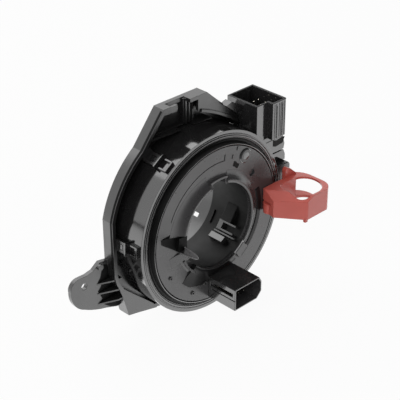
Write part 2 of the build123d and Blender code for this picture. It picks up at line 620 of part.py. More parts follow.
# Rear slide film: lies on the drum floor under the cable.
with BuildPart() as rear_slide_film:
    with BuildSketch(at_depth(DRUM_FLOOR_FRONT)):
        Circle(REAR_FILM_R)
        Circle(CABLE_INNER_R, mode=Mode.SUBTRACT)
    extrude(amount=FILM_THICK)
rear_slide_film.part.label = "rear_slide_film"
export_step(rear_slide_film.part, "parts/rear_slide_film.step")


# Rotor: face disc, outer skirt, flared lip and hub in one turned section, then everything moulded on it.
with BuildPart() as rotor_disc:
    skirt_r = ROTOR_R - ROTOR_SKIRT
    rotor_section = [
        (FLARE_R, ROTOR_FACE_Y), (ROTOR_R, ROTOR_FACE_Y), (ROTOR_R, ROTOR_SKIRT_END),
        (skirt_r, ROTOR_SKIRT_END), (skirt_r, ROTOR_BACK_Y), (HUB_R, ROTOR_BACK_Y),
        (HUB_R, HUB_JOURNAL_FRONT), (HUB_JOURNAL_R, HUB_JOURNAL_FRONT + JOURNAL_STEP),
        (HUB_JOURNAL_R, HUB_END), (BORE_R, HUB_END), (BORE_R, LIP_Y), (BORE_R + 2.9, LIP_Y + 0.8),
    ]
    revolve(turned(rotor_section), axis=Axis.Y)
    # keyway at the top of the lip and the second step on its lower left, each with a raised wall
    notch_inner = BORE_R - 1.9
    notch_outer = BORE_R + 3.1
    wall_outer = notch_outer + 1.1
    keyway_floor = LIP_Y + KEYWAY_DEPTH
    extrude(ring_part(keyway_floor, notch_inner, notch_outer, 80.0, 21.0), amount=KEYWAY_DEPTH,
            mode=Mode.SUBTRACT)
    extrude(ring_part(keyway_floor - 3.0, notch_inner, notch_outer, 205.0, 22.0), amount=KEYWAY_DEPTH,
            mode=Mode.SUBTRACT)
    extrude(ring_part(ROTOR_FACE_Y, notch_outer, wall_outer, 78.0, 25.0), amount=LIP_RISE)
    extrude(ring_part(ROTOR_FACE_Y, notch_outer, wall_outer, 203.0, 26.0), amount=LIP_RISE - 0.2)
    # tab on the lower right
    extrude(ring_part(ROTOR_FACE_Y, BORE_R + 2.1, BORE_R + 7.1, 300.0, 15.0), amount=LIP_RISE - 0.4)
    # engraved arc and the radial marks
    engraved_r = ROTOR_R - 7.45
    engraved = ring_part(ROTOR_FACE_Y + ENGRAVE, engraved_r - 0.2, engraved_r + 0.2, 81.0, 75.0)
    extrude(engraved, amount=ENGRAVE, mode=Mode.SUBTRACT)
    for mark_angle, mark_from, mark_to in [(81.5, 7.0, 4.2), (72.5, 7.2, 5.0), (69.5, 2.5, 0.5)]:
        mark = tangent_bar(ROTOR_FACE_Y, mark_angle, ROTOR_R - mark_from, ROTOR_R - mark_to, 0.6)
        extrude(mark, amount=0.35)
    # round dome, oval slot and blind hole on the upper right
    with BuildSketch(at_depth(ROTOR_FACE_Y)):
        with Locations(polar(ROTOR_R - 4.6, 58.0)):
            Circle(4.1)
    extrude(amount=0.9, taper=35)
    oval = ring_part(ROTOR_BACK_Y, ROTOR_R - 11.3, ROTOR_R - 9.5, 61.5, 8.0)
    extrude(oval, amount=ROTOR_SHEET, mode=Mode.SUBTRACT)
    with BuildSketch(at_depth(ROTOR_FACE_Y + 1.0)):
        with Locations(polar(ROTOR_R - 10.2, 39.0)):
            Circle(2.1)
    extrude(amount=1.0, mode=Mode.SUBTRACT)
    # three ring pegs
    with BuildSketch(at_depth(ROTOR_FACE_Y)):
        with Locations(polar(ROTOR_R - 5.1, 208.0), polar(ROTOR_R - 4.5, 242.0),
                       polar(ROTOR_R - 9.9, 254.0)):
            Circle(1.1)
            Circle(0.55, mode=Mode.SUBTRACT)
    extrude(amount=0.7)
    # sunk channel from the face to the lip on the left
    channel = [polar(ROTOR_R - 3.7, 168.7), polar(ROTOR_R - 8.9, 166.6), polar(BORE_R + 2.3, 173.4),
               polar(BORE_R + 2.7, 185.6), polar(BORE_R + 7.1, 182.2), polar(ROTOR_R - 5.0, 173.4)]
    extrude(face_of(ROTOR_FACE_Y + 1.1, channel), amount=1.1, mode=Mode.SUBTRACT)
    # pocket of the transport lock's prong
    pocket_left = PRONG_LEFT - LOCK_CLEAR
    pocket_right = PRONG_RIGHT + LOCK_CLEAR
    pocket_base = PRONG_BASE - LOCK_CLEAR
    pocket_top = PRONG_TOP + LOCK_CLEAR
    pocket = [(pocket_left, pocket_base), (pocket_right, pocket_base), (pocket_right, pocket_top),
              (pocket_left, pocket_top)]
    extrude(face_of(ROTOR_BACK_Y, pocket), amount=ROTOR_SHEET, mode=Mode.SUBTRACT)
    # inside of the bore, on the right below the middle: ramp, bracket, rail, block and a thin ledge
    root_r = BORE_R + 0.8
    with BuildSketch(at_depth(12.0)):
        with BuildLine():
            CenterArc((0, 0), root_r, -30.0, 25.0)
            Polyline(polar(root_r, -5.0), polar(BORE_R - 0.2, -5.0), polar(BORE_R - 3.3, -30.0),
                     polar(root_r, -30.0))
        make_face()
    extrude(amount=7.0)
    for wall_angle in (-45.0, -33.0):
        extrude(ring_part(13.0, BORE_R - 2.5, root_r, wall_angle, 2.6), amount=12.0)
    extrude(ring_part(13.0, BORE_R - 2.5, BORE_R - 1.3, -45.0, 14.6), amount=3.0)
    extrude(ring_part(14.0, BORE_R - 1.7, root_r, -49.0, 2.0), amount=15.0)
    extrude(ring_part(14.0, BORE_R - 3.1, root_r, -61.0, 9.0), amount=10.0)
    extrude(ring_part(20.6, BORE_R - 0.9, root_r, -42.0, 18.0), amount=0.9)
    # drive finger: two rails and a web standing forward from the lip on the left
    finger_root = LIP_Y + 2.0
    finger_outer = BORE_R + 2.7
    extrude(ring_part(finger_root, BORE_R + 0.3, finger_outer, 181.0, 3.0), amount=FINGER_LENGTH)
    extrude(ring_part(finger_root, BORE_R + 0.3, finger_outer, 191.0, 3.0), amount=FINGER_LENGTH - 1.5)
    extrude(ring_part(finger_root, BORE_R + 1.5, finger_outer, 181.0, 13.0), amount=FINGER_LENGTH - 2.5)
    extrude(ring_part(LIP_Y + 0.6, notch_inner, BORE_R + 1.5, 184.0, 7.0), amount=2.0, mode=Mode.SUBTRACT)
rotor_disc.part.label = "rotor_disc"
export_step(rotor_disc.part, "parts/rotor_disc.step")


def plug_outline(y, inset):
    """Section of the rotor connector at depth y, drawn in by an inset."""
    with BuildSketch(at_depth(y)) as outline:
        with BuildLine():
            Polyline((PLUG_LEFT, PLUG_BASE), (PLUG_RIGHT - PLUG_CHAMFER, PLUG_BASE),
                     (PLUG_RIGHT, PLUG_BASE + PLUG_CHAMFER), (PLUG_RIGHT, PLUG_TOP - PLUG_CHAMFER),
                     (PLUG_RIGHT - PLUG_CHAMFER, PLUG_TOP), (PLUG_LEFT, PLUG_TOP), close=True)
        make_face()
        if inset:
            offset(amount=-inset, kind=Kind.INTERSECTION, mode=Mode.REPLACE)
    return outline.sketch


# Rotor connector: a socket on the rotor's lower face, open at the front.
with BuildPart() as rotor_connector:
    plug_depth = PLUG_FLOOR_Y - PLUG_MOUTH_Y
    extrude(plug_outline(ROTOR_FACE_Y, 0), amount=ROTOR_FACE_Y - PLUG_MOUTH_Y)
    extrude(plug_outline(PLUG_FLOOR_Y, PLUG_WALL), amount=plug_depth, mode=Mode.SUBTRACT)
    # grooves along the left side and the nib on the right corner
    with BuildSketch(at_depth(PLUG_MOUTH_Y + 13.8)):
        with Locations((PLUG_LEFT, PLUG_TOP - 3.9)):
            Rectangle(1.7, 2.5)
    extrude(amount=10.6, mode=Mode.SUBTRACT)
    with BuildSketch(at_depth(PLUG_FLOOR_Y)):
        with Locations((PLUG_LEFT, PLUG_TOP - 6.9)):
            Rectangle(0.9, 0.9)
    extrude(amount=plug_depth, mode=Mode.SUBTRACT)
    with BuildSketch(at_depth(PLUG_MOUTH_Y + 2.4)):
        with Locations((PLUG_RIGHT - 0.2, PLUG_TOP - PLUG_CHAMFER - 0.8)):
            Rectangle(1.6, 1.2)
    extrude(amount=1.6)
    # key ribs inside
    with BuildSketch(at_depth(PLUG_FLOOR_Y)):
        with Locations((PLUG_LEFT + 6.7, PLUG_TOP - PLUG_WALL - 0.4),
                       (PLUG_LEFT + 13.5, PLUG_TOP - PLUG_WALL - 0.4)):
            Rectangle(1.0, 1.2)
    extrude(amount=plug_depth - 1.0)
    # pin holes
    with BuildSketch(at_depth(ROTOR_FACE_Y)):
        with Locations(ROTOR_PIN_CENTRE):
            with GridLocations(ROTOR_PIN_PITCH, ROTOR_PIN_ROW, 3, 2):
                Rectangle(PIN_WIDTH + 2 * PIN_PLAY, PIN_WIDTH + 2 * PIN_PLAY)
    extrude(amount=ROTOR_FACE_Y - PLUG_FLOOR_Y, mode=Mode.SUBTRACT)
rotor_connector.part.label = "rotor_connector"
export_step(rotor_connector.part, "parts/rotor_connector.step")


# Contact pins of the rotor connector.
pin_number = 0
for row in (-0.5, 0.5):
    for column in (-1, 0, 1):
        pin_number += 1
        pin_x = ROTOR_PIN_CENTRE[0] + column * ROTOR_PIN_PITCH
        pin_z = ROTOR_PIN_CENTRE[1] + row * ROTOR_PIN_ROW
        with BuildPart() as rotor_pin:
            with BuildSketch(at_depth(ROTOR_FACE_Y)):
                with Locations((pin_x, pin_z)):
                    Rectangle(PIN_WIDTH, PIN_WIDTH)
            extrude(amount=ROTOR_FACE_Y - ROTOR_PIN_TIP_Y)
            chamfer(rotor_pin.faces().sort_by(Axis.Y)[0].edges(), PIN_TIP)
        rotor_pin.part.label = f"rotor_pin_{pin_number}"
        export_step(rotor_pin.part, f"parts/rotor_pin_{pin_number}.step")


# Inner cable carrier: a foot under the rotor disc and a column that takes the cable's inner end.
with BuildPart() as inner_cable_carrier:
    carrier_start = CARRIER_ANGLE - CARRIER_HALF
    foot_back = ROTOR_BACK_Y + FOOT_THICK
    foot = ring_part(foot_back, HUB_R + SEAT_GAP, FRONT_FILM_R, carrier_start, 2 * CARRIER_HALF)
    extrude(foot, amount=FOOT_THICK)
    column = ring_part(COLUMN_END, HUB_R + CARRIER_PLAY, COLUMN_R, carrier_start, 2 * CARRIER_HALF)
    extrude(column, amount=COLUMN_END - ROTOR_BACK_Y)
    groove = ring_part(COLUMN_END, HUB_R + 2.0, COLUMN_R - 0.8, carrier_start, 1.6 * CARRIER_HALF)
    extrude(groove, amount=COLUMN_END - foot_back - 1.0, mode=Mode.SUBTRACT)
inner_cable_carrier.part.label = "inner_cable_carrier"
export_step(inner_cable_carrier.part, "parts/inner_cable_carrier.step")


# Front slide film: lies against the back of the rotor disc, notched around the carrier's foot.
with BuildPart() as front_slide_film:
    film_back = ROTOR_BACK_Y + FILM_THICK
    notch_half = CARRIER_HALF + 0.6
    with BuildSketch(at_depth(film_back)):
        Circle(FRONT_FILM_R)
        Circle(CABLE_INNER_R, mode=Mode.SUBTRACT)
    extrude(amount=FILM_THICK)
    foot_notch = ring_part(film_back, CABLE_INNER_R - 1.0, FRONT_FILM_R + 1.0, CARRIER_ANGLE - notch_half,
                           2 * notch_half)
    extrude(foot_notch, amount=FILM_THICK, mode=Mode.SUBTRACT)
front_slide_film.part.label = "front_slide_film"
export_step(front_slide_film.part, "parts/front_slide_film.step")


# Rear sleeve: a flanged ring pressed on the hub's end, with a tube and drive slots behind it.
with BuildPart() as rear_sleeve:
    grip_r = HUB_JOURNAL_R + PRESS_GAP
    seat_y = HUB_END + PRESS_GAP
    flange_back = FLANGE_FRONT + FLANGE_THICK
    sleeve_section = [
        (SLEEVE_BORE_R, seat_y), (SLEEVE_BORE_R, SLEEVE_END), (SLEEVE_R, SLEEVE_END),
        (SLEEVE_R, flange_back), (FLANGE_R, flange_back), (FLANGE_R, FLANGE_FRONT), (grip_r, FLANGE_FRONT),
        (grip_r, seat_y),
    ]
    revolve(turned(sleeve_section), axis=Axis.Y)
    for slot_angle in SLEEVE_SLOTS:
        slot = ring_part(SLEEVE_END, SLEEVE_BORE_R - 1.0, SLEEVE_R + 1.0, slot_angle - 4.0, 8.0)
        extrude(slot, amount=SLEEVE_SLOT_DEPTH, mode=Mode.SUBTRACT)
rear_sleeve.part.label = "rear_sleeve"
export_step(rear_sleeve.part, "parts/rear_sleeve.step")


def lock_level(z):
    """Sketch plane of the lock at a height, with its corner at the lock's left end and back face."""
    return Plane((LOCK_LEFT, DRUM_FRONT_Y + LOCK_BACK, z))


# Transport lock: a finger loop in front of the rim, with a wedge side, a head and prongs behind it.
with BuildPart() as lock:
    with BuildSketch(lock_level(LOCK_BASE)):
        with BuildLine():
            Polyline((LOCK_STEP_X, 0), (2.1, 0), (0, -9.4), (9.6, -22.5), (11.2, -24.1), (26.8, -24.1))
            ThreePointArc((26.8, -24.1), (30.6, -21.2), (32.4, -15.7))
            Line((32.4, -15.7), (32.4, -8.2))
            ThreePointArc((32.4, -8.2), (31.2, -2.3), (28.0, LOCK_STEP_Y))
            Polyline((28.0, LOCK_STEP_Y), (LOCK_STEP_X, LOCK_STEP_Y), (LOCK_STEP_X, 0))
        make_face()
    extrude(amount=LOCK_TOP - LOCK_BASE)
    # sloped face that rises from the wedge side to the rim of the finger hole
    slope_origin = (LOCK_LEFT, DRUM_FRONT_Y + LOCK_BACK - 9.4, LOCK_EDGE_Z)
    split(bisect_by=Plane(origin=slope_origin, z_dir=(-0.53, -0.33, 1.0)), keep=Keep.BOTTOM)
    # the top of the loop falls slightly toward its outer end
    top_origin = (LOCK_LEFT + 12.0, DRUM_FRONT_Y, LOCK_TOP)
    split(bisect_by=Plane(origin=top_origin, z_dir=(0.04, 0, 1.0)), keep=Keep.BOTTOM)
    # finger hole
    with BuildSketch(lock_level(LOCK_BASE)):
        with BuildLine():
            Line((23.4, -4.0), (12.4, -4.0))
            ThreePointArc((12.4, -4.0), (9.8, -5.3), (8.8, -8.2))
            Line((8.8, -8.2), (8.8, -17.0))
            ThreePointArc((8.8, -17.0), (10.2, -20.9), (14.0, -22.8))
            Line((14.0, -22.8), (20.4, -22.8))
            ThreePointArc((20.4, -22.8), (27.8, -19.3), (30.3, -12.5))
            ThreePointArc((30.3, -12.5), (28.4, -6.7), (23.4, -4.0))
        make_face()
    extrude(amount=LOCK_TOP - LOCK_BASE, mode=Mode.SUBTRACT)
    # the far right of the loop is open between a thin top bar and a low rail
    with BuildSketch(lock_level(LOCK_BASE + LOCK_RAIL)):
        with Locations((29.4, -8.8)):
            Rectangle(10.8, 22.0)
    extrude(amount=LOCK_TOP - LOCK_BAR - LOCK_BASE - LOCK_RAIL, mode=Mode.SUBTRACT)
    # groove across the left end and the rounded hook below it
    with BuildSketch(lock_level(0.2)):
        with Locations((1.2, -2.6)):
            Rectangle(3.6, 9.2)
    extrude(amount=1.2, mode=Mode.SUBTRACT)
    with BuildSketch(lock_level(LOCK_BASE)):
        with Locations((3.4, -3.4)):
            Circle(3.2)
    extrude(amount=0.2 - LOCK_BASE)
    # foot under the front corner
    with BuildSketch(lock_level(LOCK_BASE - 1.6)):
        with Locations((11.0, -22.8)):
            Rectangle(1.8, 1.6)
    extrude(amount=1.6 + 1.0)
    # head above the back of the loop
    head_base = LOCK_TOP - LOCK_BAR
    head_x = LOCK_LEFT + LOCK_STEP_X
    head = [(head_x, head_base), (head_x, LOCK_TOP + 4.6), (head_x + 1.4, LOCK_TOP + 5.8),
            (head_x + 3.8, LOCK_TOP + 4.6), (head_x + 9.0, LOCK_TOP), (head_x + 9.0, head_base)]
    extrude(face_of(LOCK_BACK + LOCK_STEP_Y, head), amount=2.4)
    # prongs toward the rotor and the cover
    rotor_prong = [(PRONG_LEFT, PRONG_BASE), (PRONG_RIGHT, PRONG_BASE), (PRONG_RIGHT, PRONG_TOP),
                   (PRONG_LEFT, PRONG_TOP)]
    extrude(face_of(PRONG_END, rotor_prong), amount=PRONG_END - LOCK_BACK + 1.0)
    cover_prong = [(COVER_PRONG_LEFT, COVER_PRONG_BASE), (COVER_PRONG_RIGHT, COVER_PRONG_BASE),
                   (COVER_PRONG_RIGHT, COVER_PRONG_TOP), (COVER_PRONG_LEFT, COVER_PRONG_TOP)]
    extrude(face_of(COVER_PRONG_END, cover_prong), amount=COVER_PRONG_END - LOCK_BACK + 1.0)
lock.part.label = "lock"
export_step(lock.part, "parts/lock.step")
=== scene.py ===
import math

import bmesh
import bpy
from mathutils import Matrix, Vector


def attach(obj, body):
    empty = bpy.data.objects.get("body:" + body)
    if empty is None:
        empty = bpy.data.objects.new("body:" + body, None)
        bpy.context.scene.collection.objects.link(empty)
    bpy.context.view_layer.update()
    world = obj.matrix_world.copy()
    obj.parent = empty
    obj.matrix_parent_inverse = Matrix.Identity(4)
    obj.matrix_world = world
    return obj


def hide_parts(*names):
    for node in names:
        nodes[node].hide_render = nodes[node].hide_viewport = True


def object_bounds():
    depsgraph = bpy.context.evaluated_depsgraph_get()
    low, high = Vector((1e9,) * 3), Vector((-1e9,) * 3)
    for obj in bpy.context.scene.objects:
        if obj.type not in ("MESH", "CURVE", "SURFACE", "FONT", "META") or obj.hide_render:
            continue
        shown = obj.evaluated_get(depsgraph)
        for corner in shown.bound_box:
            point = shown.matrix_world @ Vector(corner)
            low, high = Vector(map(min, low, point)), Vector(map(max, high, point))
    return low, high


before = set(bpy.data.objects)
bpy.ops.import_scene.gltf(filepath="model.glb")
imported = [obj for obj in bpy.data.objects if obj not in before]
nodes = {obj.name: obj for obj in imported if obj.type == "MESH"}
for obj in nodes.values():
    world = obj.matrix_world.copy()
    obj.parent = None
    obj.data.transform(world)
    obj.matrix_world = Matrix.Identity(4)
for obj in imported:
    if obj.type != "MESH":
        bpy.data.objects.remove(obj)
cadLow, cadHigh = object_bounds()
print("frame loaded:", len(nodes), "solids")

mm = 0.001
sleeveEnd = 34 * mm          # the drum's front edge stands this far in front of the origin


# camera at the photograph's viewing angle, a little above the hub and to its left
cameraSetup = {
    "spot": (-0.3864, -0.4169, 0.3257),
    "right": (0.7128, -0.7014, 0.0),
    "up": (0.3491, 0.3548, 0.8673),
    "roll": -0.286,
    "lens": 109.1,
    "sensor": 36,
    "clip": (0.05, 20),
}


def makeCamera(setup):
    data = bpy.data.cameras.new("studioCamera")
    camera = bpy.data.objects.new("studioCamera", data)
    bpy.context.scene.collection.objects.link(camera)
    right, up = Vector(setup["right"]).normalized(), Vector(setup["up"]).normalized()
    turn = math.radians(setup["roll"])
    side = right * math.cos(turn) + up * math.sin(turn)
    top = up * math.cos(turn) - right * math.sin(turn)
    back = side.cross(top)
    axes = Matrix((side, top, back)).transposed().to_4x4()
    camera.matrix_world = Matrix.Translation(setup["spot"]) @ axes
    data.lens, data.sensor_width = setup["lens"], setup["sensor"]
    data.clip_start, data.clip_end = setup["clip"]
    bpy.context.scene.camera = camera


makeCamera(cameraSetup)
print("camera placed")


# node helpers that every material below shares
noiseSpan = (0.3, 0.7)       # most of a noise field's values lie in this span


def newMaterial(name):
    material = bpy.data.materials.new(name)
    material.use_nodes = True
    tree = material.node_tree
    tree.nodes.clear()
    output = tree.nodes.new("ShaderNodeOutputMaterial")
    shader = tree.nodes.new("ShaderNodeBsdfPrincipled")
    tree.links.new(shader.outputs[0], output.inputs[0])
    return material, tree, shader


def noiseField(tree, coords, scale, detail=3.0, stretch=None):
    field = tree.nodes.new("ShaderNodeTexNoise")
    field.inputs["Scale"].default_value = scale
    field.inputs["Detail"].default_value = detail
    field.inputs["Roughness"].default_value = 0.55
    source = coords.outputs["Object"]
    if stretch:
        mapping = tree.nodes.new("ShaderNodeMapping")
        mapping.inputs["Scale"].default_value = stretch
        tree.links.new(source, mapping.inputs["Vector"])
        source = mapping.outputs["Vector"]
    tree.links.new(source, field.inputs["Vector"])
    return field.outputs[0]


def rangeNode(tree, value, span, ends, easing="LINEAR"):
    ranged = tree.nodes.new("ShaderNodeMapRange")
    ranged.interpolation_type = easing
    ranged.inputs["From Min"].default_value, ranged.inputs["From Max"].default_value = span
    ranged.inputs["To Min"].default_value, ranged.inputs["To Max"].default_value = ends
    tree.links.new(value, ranged.inputs["Value"])
    return ranged.outputs[0]


def twoTone(tree, value, colours, edges):
    ramp = tree.nodes.new("ShaderNodeValToRGB")
    for stop, colour, edge in zip(ramp.color_ramp.elements, colours, edges):
        stop.position = edge
        stop.color = (*colour, 1)
    tree.links.new(value, ramp.inputs[0])
    return ramp.outputs[0]


def bumpNode(tree, height, strength, depth, under=None):
    bump = tree.nodes.new("ShaderNodeBump")
    bump.inputs["Strength"].default_value = strength
    bump.inputs["Distance"].default_value = depth
    tree.links.new(height, bump.inputs["Height"])
    if under:
        tree.links.new(under, bump.inputs["Normal"])
    return bump.outputs[0]


# moulded plastics: colour clouds, worn gloss, fine grain and slight sink marks over softened edges
def mouldedPlastic(name, look):
    material, tree, shader = newMaterial(name)
    coords = tree.nodes.new("ShaderNodeTexCoord")
    clouds = noiseField(tree, coords, look["cloudScale"], 4.0)
    wear = noiseField(tree, coords, look["wearScale"], 5.0)
    grain = noiseField(tree, coords, look["grainScale"], 2.0)
    swell = noiseField(tree, coords, look["swellScale"], 1.0)
    rounded = tree.nodes.new("ShaderNodeBevel")
    rounded.samples = look["edgeSamples"]
    rounded.inputs["Radius"].default_value = look["edge"]
    grained = bumpNode(tree, grain, look["grain"], look["grainDepth"], rounded.outputs[0])
    sunk = bumpNode(tree, swell, look["swell"], look["swellDepth"], grained)
    colour = twoTone(tree, clouds, (look["base"], look["tint"]), look["cloudEdges"])
    tree.links.new(colour, shader.inputs["Base Color"])
    tree.links.new(rangeNode(tree, wear, noiseSpan, look["gloss"]), shader.inputs["Roughness"])
    tree.links.new(sunk, shader.inputs["Normal"])
    shader.inputs["IOR"].default_value = look["ior"]
    shader.inputs["Specular IOR Level"].default_value = look["shine"]
    shader.inputs["Coat Weight"].default_value = look["coat"]
    shader.inputs["Coat Roughness"].default_value = look["coatRoughness"]
    return material


blackLook = {
    "base": (0.011, 0.0108, 0.011), "tint": (0.017, 0.0167, 0.017),
    "cloudScale": 60, "cloudEdges": (0.32, 0.68),
    "gloss": (0.08, 0.13), "wearScale": 90, "ior": 1.5, "shine": 1.0, "coat": 0.5, "coatRoughness": 0.08,
    "grain": 0.06, "grainScale": 4200, "grainDepth": 0.00005,
    "swell": 0.05, "swellScale": 70, "swellDepth": 0.0004, "edge": 0.0003, "edgeSamples": 6,
}
finishes = {
    "drumPlastic": mouldedPlastic("drumPlastic", blackLook),
    "coverPlastic": mouldedPlastic("coverPlastic", {**blackLook, "gloss": (0.07, 0.12)}),
    "framePlastic": mouldedPlastic("framePlastic", {
        **blackLook, "gloss": (0.26, 0.34), "grain": 0.12, "coat": 0.15, "coatRoughness": 0.2}),
    "rotorPlastic": mouldedPlastic("rotorPlastic", {
        **blackLook, "base": (0.040, 0.039, 0.040), "tint": (0.055, 0.0535, 0.055), "gloss": (0.24, 0.32),
        "coat": 0.0, "shine": 0.6, "grain": 0.14}),
    "plugPlastic": mouldedPlastic("plugPlastic", {
        **blackLook, "base": (0.018, 0.0178, 0.018), "tint": (0.026, 0.0257, 0.026), "gloss": (0.1, 0.16)}),
    "dullPlastic": mouldedPlastic("dullPlastic", {
        **blackLook, "gloss": (0.45, 0.6), "coat": 0.0, "shine": 0.35}),
    # painted shade: a near-black finish for the dark sheets that paint shade in the channel, the oval, the
    # notch, along the tray's edge and between the ear's ribs
    "paintedShadowPlastic": mouldedPlastic("paintedShadowPlastic", {
        **blackLook, "base": (0.004, 0.004, 0.004), "tint": (0.007, 0.007, 0.007), "gloss": (0.5, 0.6),
        "coat": 0.0, "shine": 0.12}),
    # painted shade: a near-black, duller finish for the inside of the bore
    "boreShadePlastic": mouldedPlastic("boreShadePlastic", {
        **blackLook, "base": (0.005, 0.005, 0.005), "tint": (0.008, 0.008, 0.008), "gloss": (0.5, 0.62),
        "coat": 0.0, "shine": 0.35}),
    # painted shade: a near-black finish for the cover's band over its steep slope, where shade falls
    "grooveShadePlastic": mouldedPlastic("grooveShadePlastic", {
        **blackLook, "base": (0.005, 0.005, 0.005), "tint": (0.008, 0.008, 0.008), "gloss": (0.45, 0.55),
        "coat": 0.0, "shine": 0.2}),
    # painted shade: a darker finish for the flare's lower arc and an arc on the rotor's face
    "shadePlastic": mouldedPlastic("shadePlastic", {
        **blackLook, "base": (0.009, 0.0088, 0.009), "tint": (0.014, 0.0137, 0.014), "gloss": (0.26, 0.34),
        "coat": 0.0, "shine": 0.16}),
    "fingerPlastic": mouldedPlastic("fingerPlastic", {
        **blackLook, "base": (0.17, 0.167, 0.17), "tint": (0.2, 0.196, 0.2), "gloss": (0.2, 0.3),
        "coat": 0.2}),
    "sleevePlastic": mouldedPlastic("sleevePlastic", {
        **blackLook, "base": (0.02, 0.02, 0.021), "tint": (0.035, 0.035, 0.036), "gloss": (0.3, 0.45),
        "coat": 0.2}),
    "lockPlastic": mouldedPlastic("lockPlastic", {
        **blackLook, "base": (0.58, 0.105, 0.08), "tint": (0.63, 0.12, 0.095), "gloss": (0.3, 0.4),
        "shine": 0.5, "coat": 0.1, "swell": 0.06}),
}
wearsFinish = {
    "drum_housing": "drumPlastic", "front_cover": "coverPlastic", "rear_frame": "framePlastic",
    "stator_connector": "plugPlastic", "rotor_connector": "plugPlastic", "rotor_disc": "rotorPlastic",
    "inner_cable_carrier": "drumPlastic", "outer_cable_carrier": "drumPlastic",
    "rear_sleeve": "sleevePlastic", "lock": "lockPlastic",
}


def dress(nodeName, material):
    node = nodes[nodeName]
    if not node.material_slots:
        node.data.materials.append(material)
    for slot in node.material_slots:
        slot.material = material


for nodeName, finish in wearsFinish.items():
    dress(nodeName, finishes[finish])
print("plastics dressed")


# tinned contact pins, drawn along their length
pinLook = {
    "base": (0.72, 0.68, 0.58), "gloss": (0.18, 0.32), "drawnScale": 900, "stretch": (1, 1, 0.1),
    "ripple": 0.2, "rippleDepth": 0.00002,
}


def pinMetal(look):
    material, tree, shader = newMaterial("pinMetal")
    coords = tree.nodes.new("ShaderNodeTexCoord")
    drawn = noiseField(tree, coords, look["drawnScale"], stretch=look["stretch"])
    tree.links.new(rangeNode(tree, drawn, noiseSpan, look["gloss"]), shader.inputs["Roughness"])
    tree.links.new(bumpNode(tree, drawn, look["ripple"], look["rippleDepth"]), shader.inputs["Normal"])
    shader.inputs["Base Color"].default_value = (*look["base"], 1)
    shader.inputs["Metallic"].default_value = 1.0
    return material


pinFinish = pinMetal(pinLook)
for nodeName in nodes:
    if "_pin_" in nodeName:
        dress(nodeName, pinFinish)


# flat cable: laminated film with the copper strips showing through
cableLook = {
    "film": (0.62, 0.64, 0.68), "copper": (0.55, 0.33, 0.2), "strips": 900, "stripEdges": (0.35, 0.5),
    "gloss": (0.15, 0.3), "smearScale": 200,
}


def cableFilm(look):
    material, tree, shader = newMaterial("cableFilm")
    coords = tree.nodes.new("ShaderNodeTexCoord")
    waves = tree.nodes.new("ShaderNodeTexWave")
    waves.bands_direction = "Y"
    waves.inputs["Scale"].default_value = look["strips"]
    waves.inputs["Distortion"].default_value = 0.0
    tree.links.new(coords.outputs["Object"], waves.inputs["Vector"])
    strips = twoTone(tree, waves.outputs[0], (look["film"], look["copper"]), look["stripEdges"])
    tree.links.new(strips, shader.inputs["Base Color"])
    smear = noiseField(tree, coords, look["smearScale"])
    tree.links.new(rangeNode(tree, smear, noiseSpan, look["gloss"]), shader.inputs["Roughness"])
    return material


dress("flat_cable", cableFilm(cableLook))


# slide films on both sides of the cable
slideLook = {
    "base": (0.78, 0.78, 0.75), "gloss": (0.2, 0.4), "hazeScale": 120, "ripple": 0.1, "rippleDepth": 0.0001,
}


def slideFilm(look):
    material, tree, shader = newMaterial("slideFilm")
    coords = tree.nodes.new("ShaderNodeTexCoord")
    haze = noiseField(tree, coords, look["hazeScale"], 4.0)
    tree.links.new(rangeNode(tree, haze, noiseSpan, look["gloss"]), shader.inputs["Roughness"])
    tree.links.new(bumpNode(tree, haze, look["ripple"], look["rippleDepth"]), shader.inputs["Normal"])
    shader.inputs["Base Color"].default_value = (*look["base"], 1)
    return material


slideFinish = slideFilm(slideLook)
dress("rear_slide_film", slideFinish)
dress("front_slide_film", slideFinish)
print("cable and films dressed")


# mesh helpers: places are in mm, with depth counted back from the drum's front edge
def placed(x, depth, z):
    return Vector((x * mm, depth * mm - sleeveEnd, z * mm))


def spot(radius, angle, depth):
    turn = math.radians(angle)
    return Vector((radius * math.cos(turn), depth, radius * math.sin(turn))) * mm - Vector((0, sleeveEnd, 0))


def toMesh(name, shape):
    bmesh.ops.recalc_face_normals(shape, faces=shape.faces)
    mesh = bpy.data.meshes.new(name)
    shape.to_mesh(mesh)
    shape.free()
    return mesh


def joinRings(shape, rings, closed=False):
    for here, there in zip(rings, rings[1:] + rings[:1] if closed else rings[1:]):
        for corner in range(len(here)):
            after = (corner + 1) % len(here)
            shape.faces.new((here[corner], here[after], there[after], there[corner]))


def capEnds(shape, rings):
    shape.faces.new(rings[0])
    shape.faces.new(reversed(rings[-1]))


def turnedMesh(name, sectionAt, steps, start=0.0, sweep=360.0):
    # a section of (radius, depth) turned about the bore
    shape = bmesh.new()
    full = sweep >= 360
    rings = []
    for step in range(steps if full else steps + 1):
        angle = start + sweep * step / steps
        rings.append([shape.verts.new(spot(radius, angle, depth)) for radius, depth in sectionAt(angle)])
    joinRings(shape, rings, full)
    if not full:
        capEnds(shape, rings)
    return toMesh(name, shape)


def blockMesh(name, outline, depths, bevel=0.0):
    # an outline of (x, z) pushed between two depths
    shape = bmesh.new()
    front, back = [[shape.verts.new(placed(x, depth, z)) for x, z in outline] for depth in depths]
    shape.faces.new(front)
    shape.faces.new(reversed(back))
    for corner in range(len(outline)):
        after = (corner + 1) % len(outline)
        shape.faces.new((front[corner], back[corner], back[after], front[after]))
    if bevel:
        bmesh.ops.bevel(shape, geom=shape.edges[:], offset=bevel * mm, segments=2, affect="EDGES",
                        clamp_overlap=True)
    return toMesh(name, shape)


def addPiece(name, mesh, finish, body, sharp=35):
    piece = bpy.data.objects.new(name, mesh)
    bpy.context.scene.collection.objects.link(piece)
    mesh.materials.append(finishes[finish])
    mesh.shade_smooth()
    mesh.set_sharp_from_angle(angle=math.radians(sharp))
    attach(piece, body)
    return piece


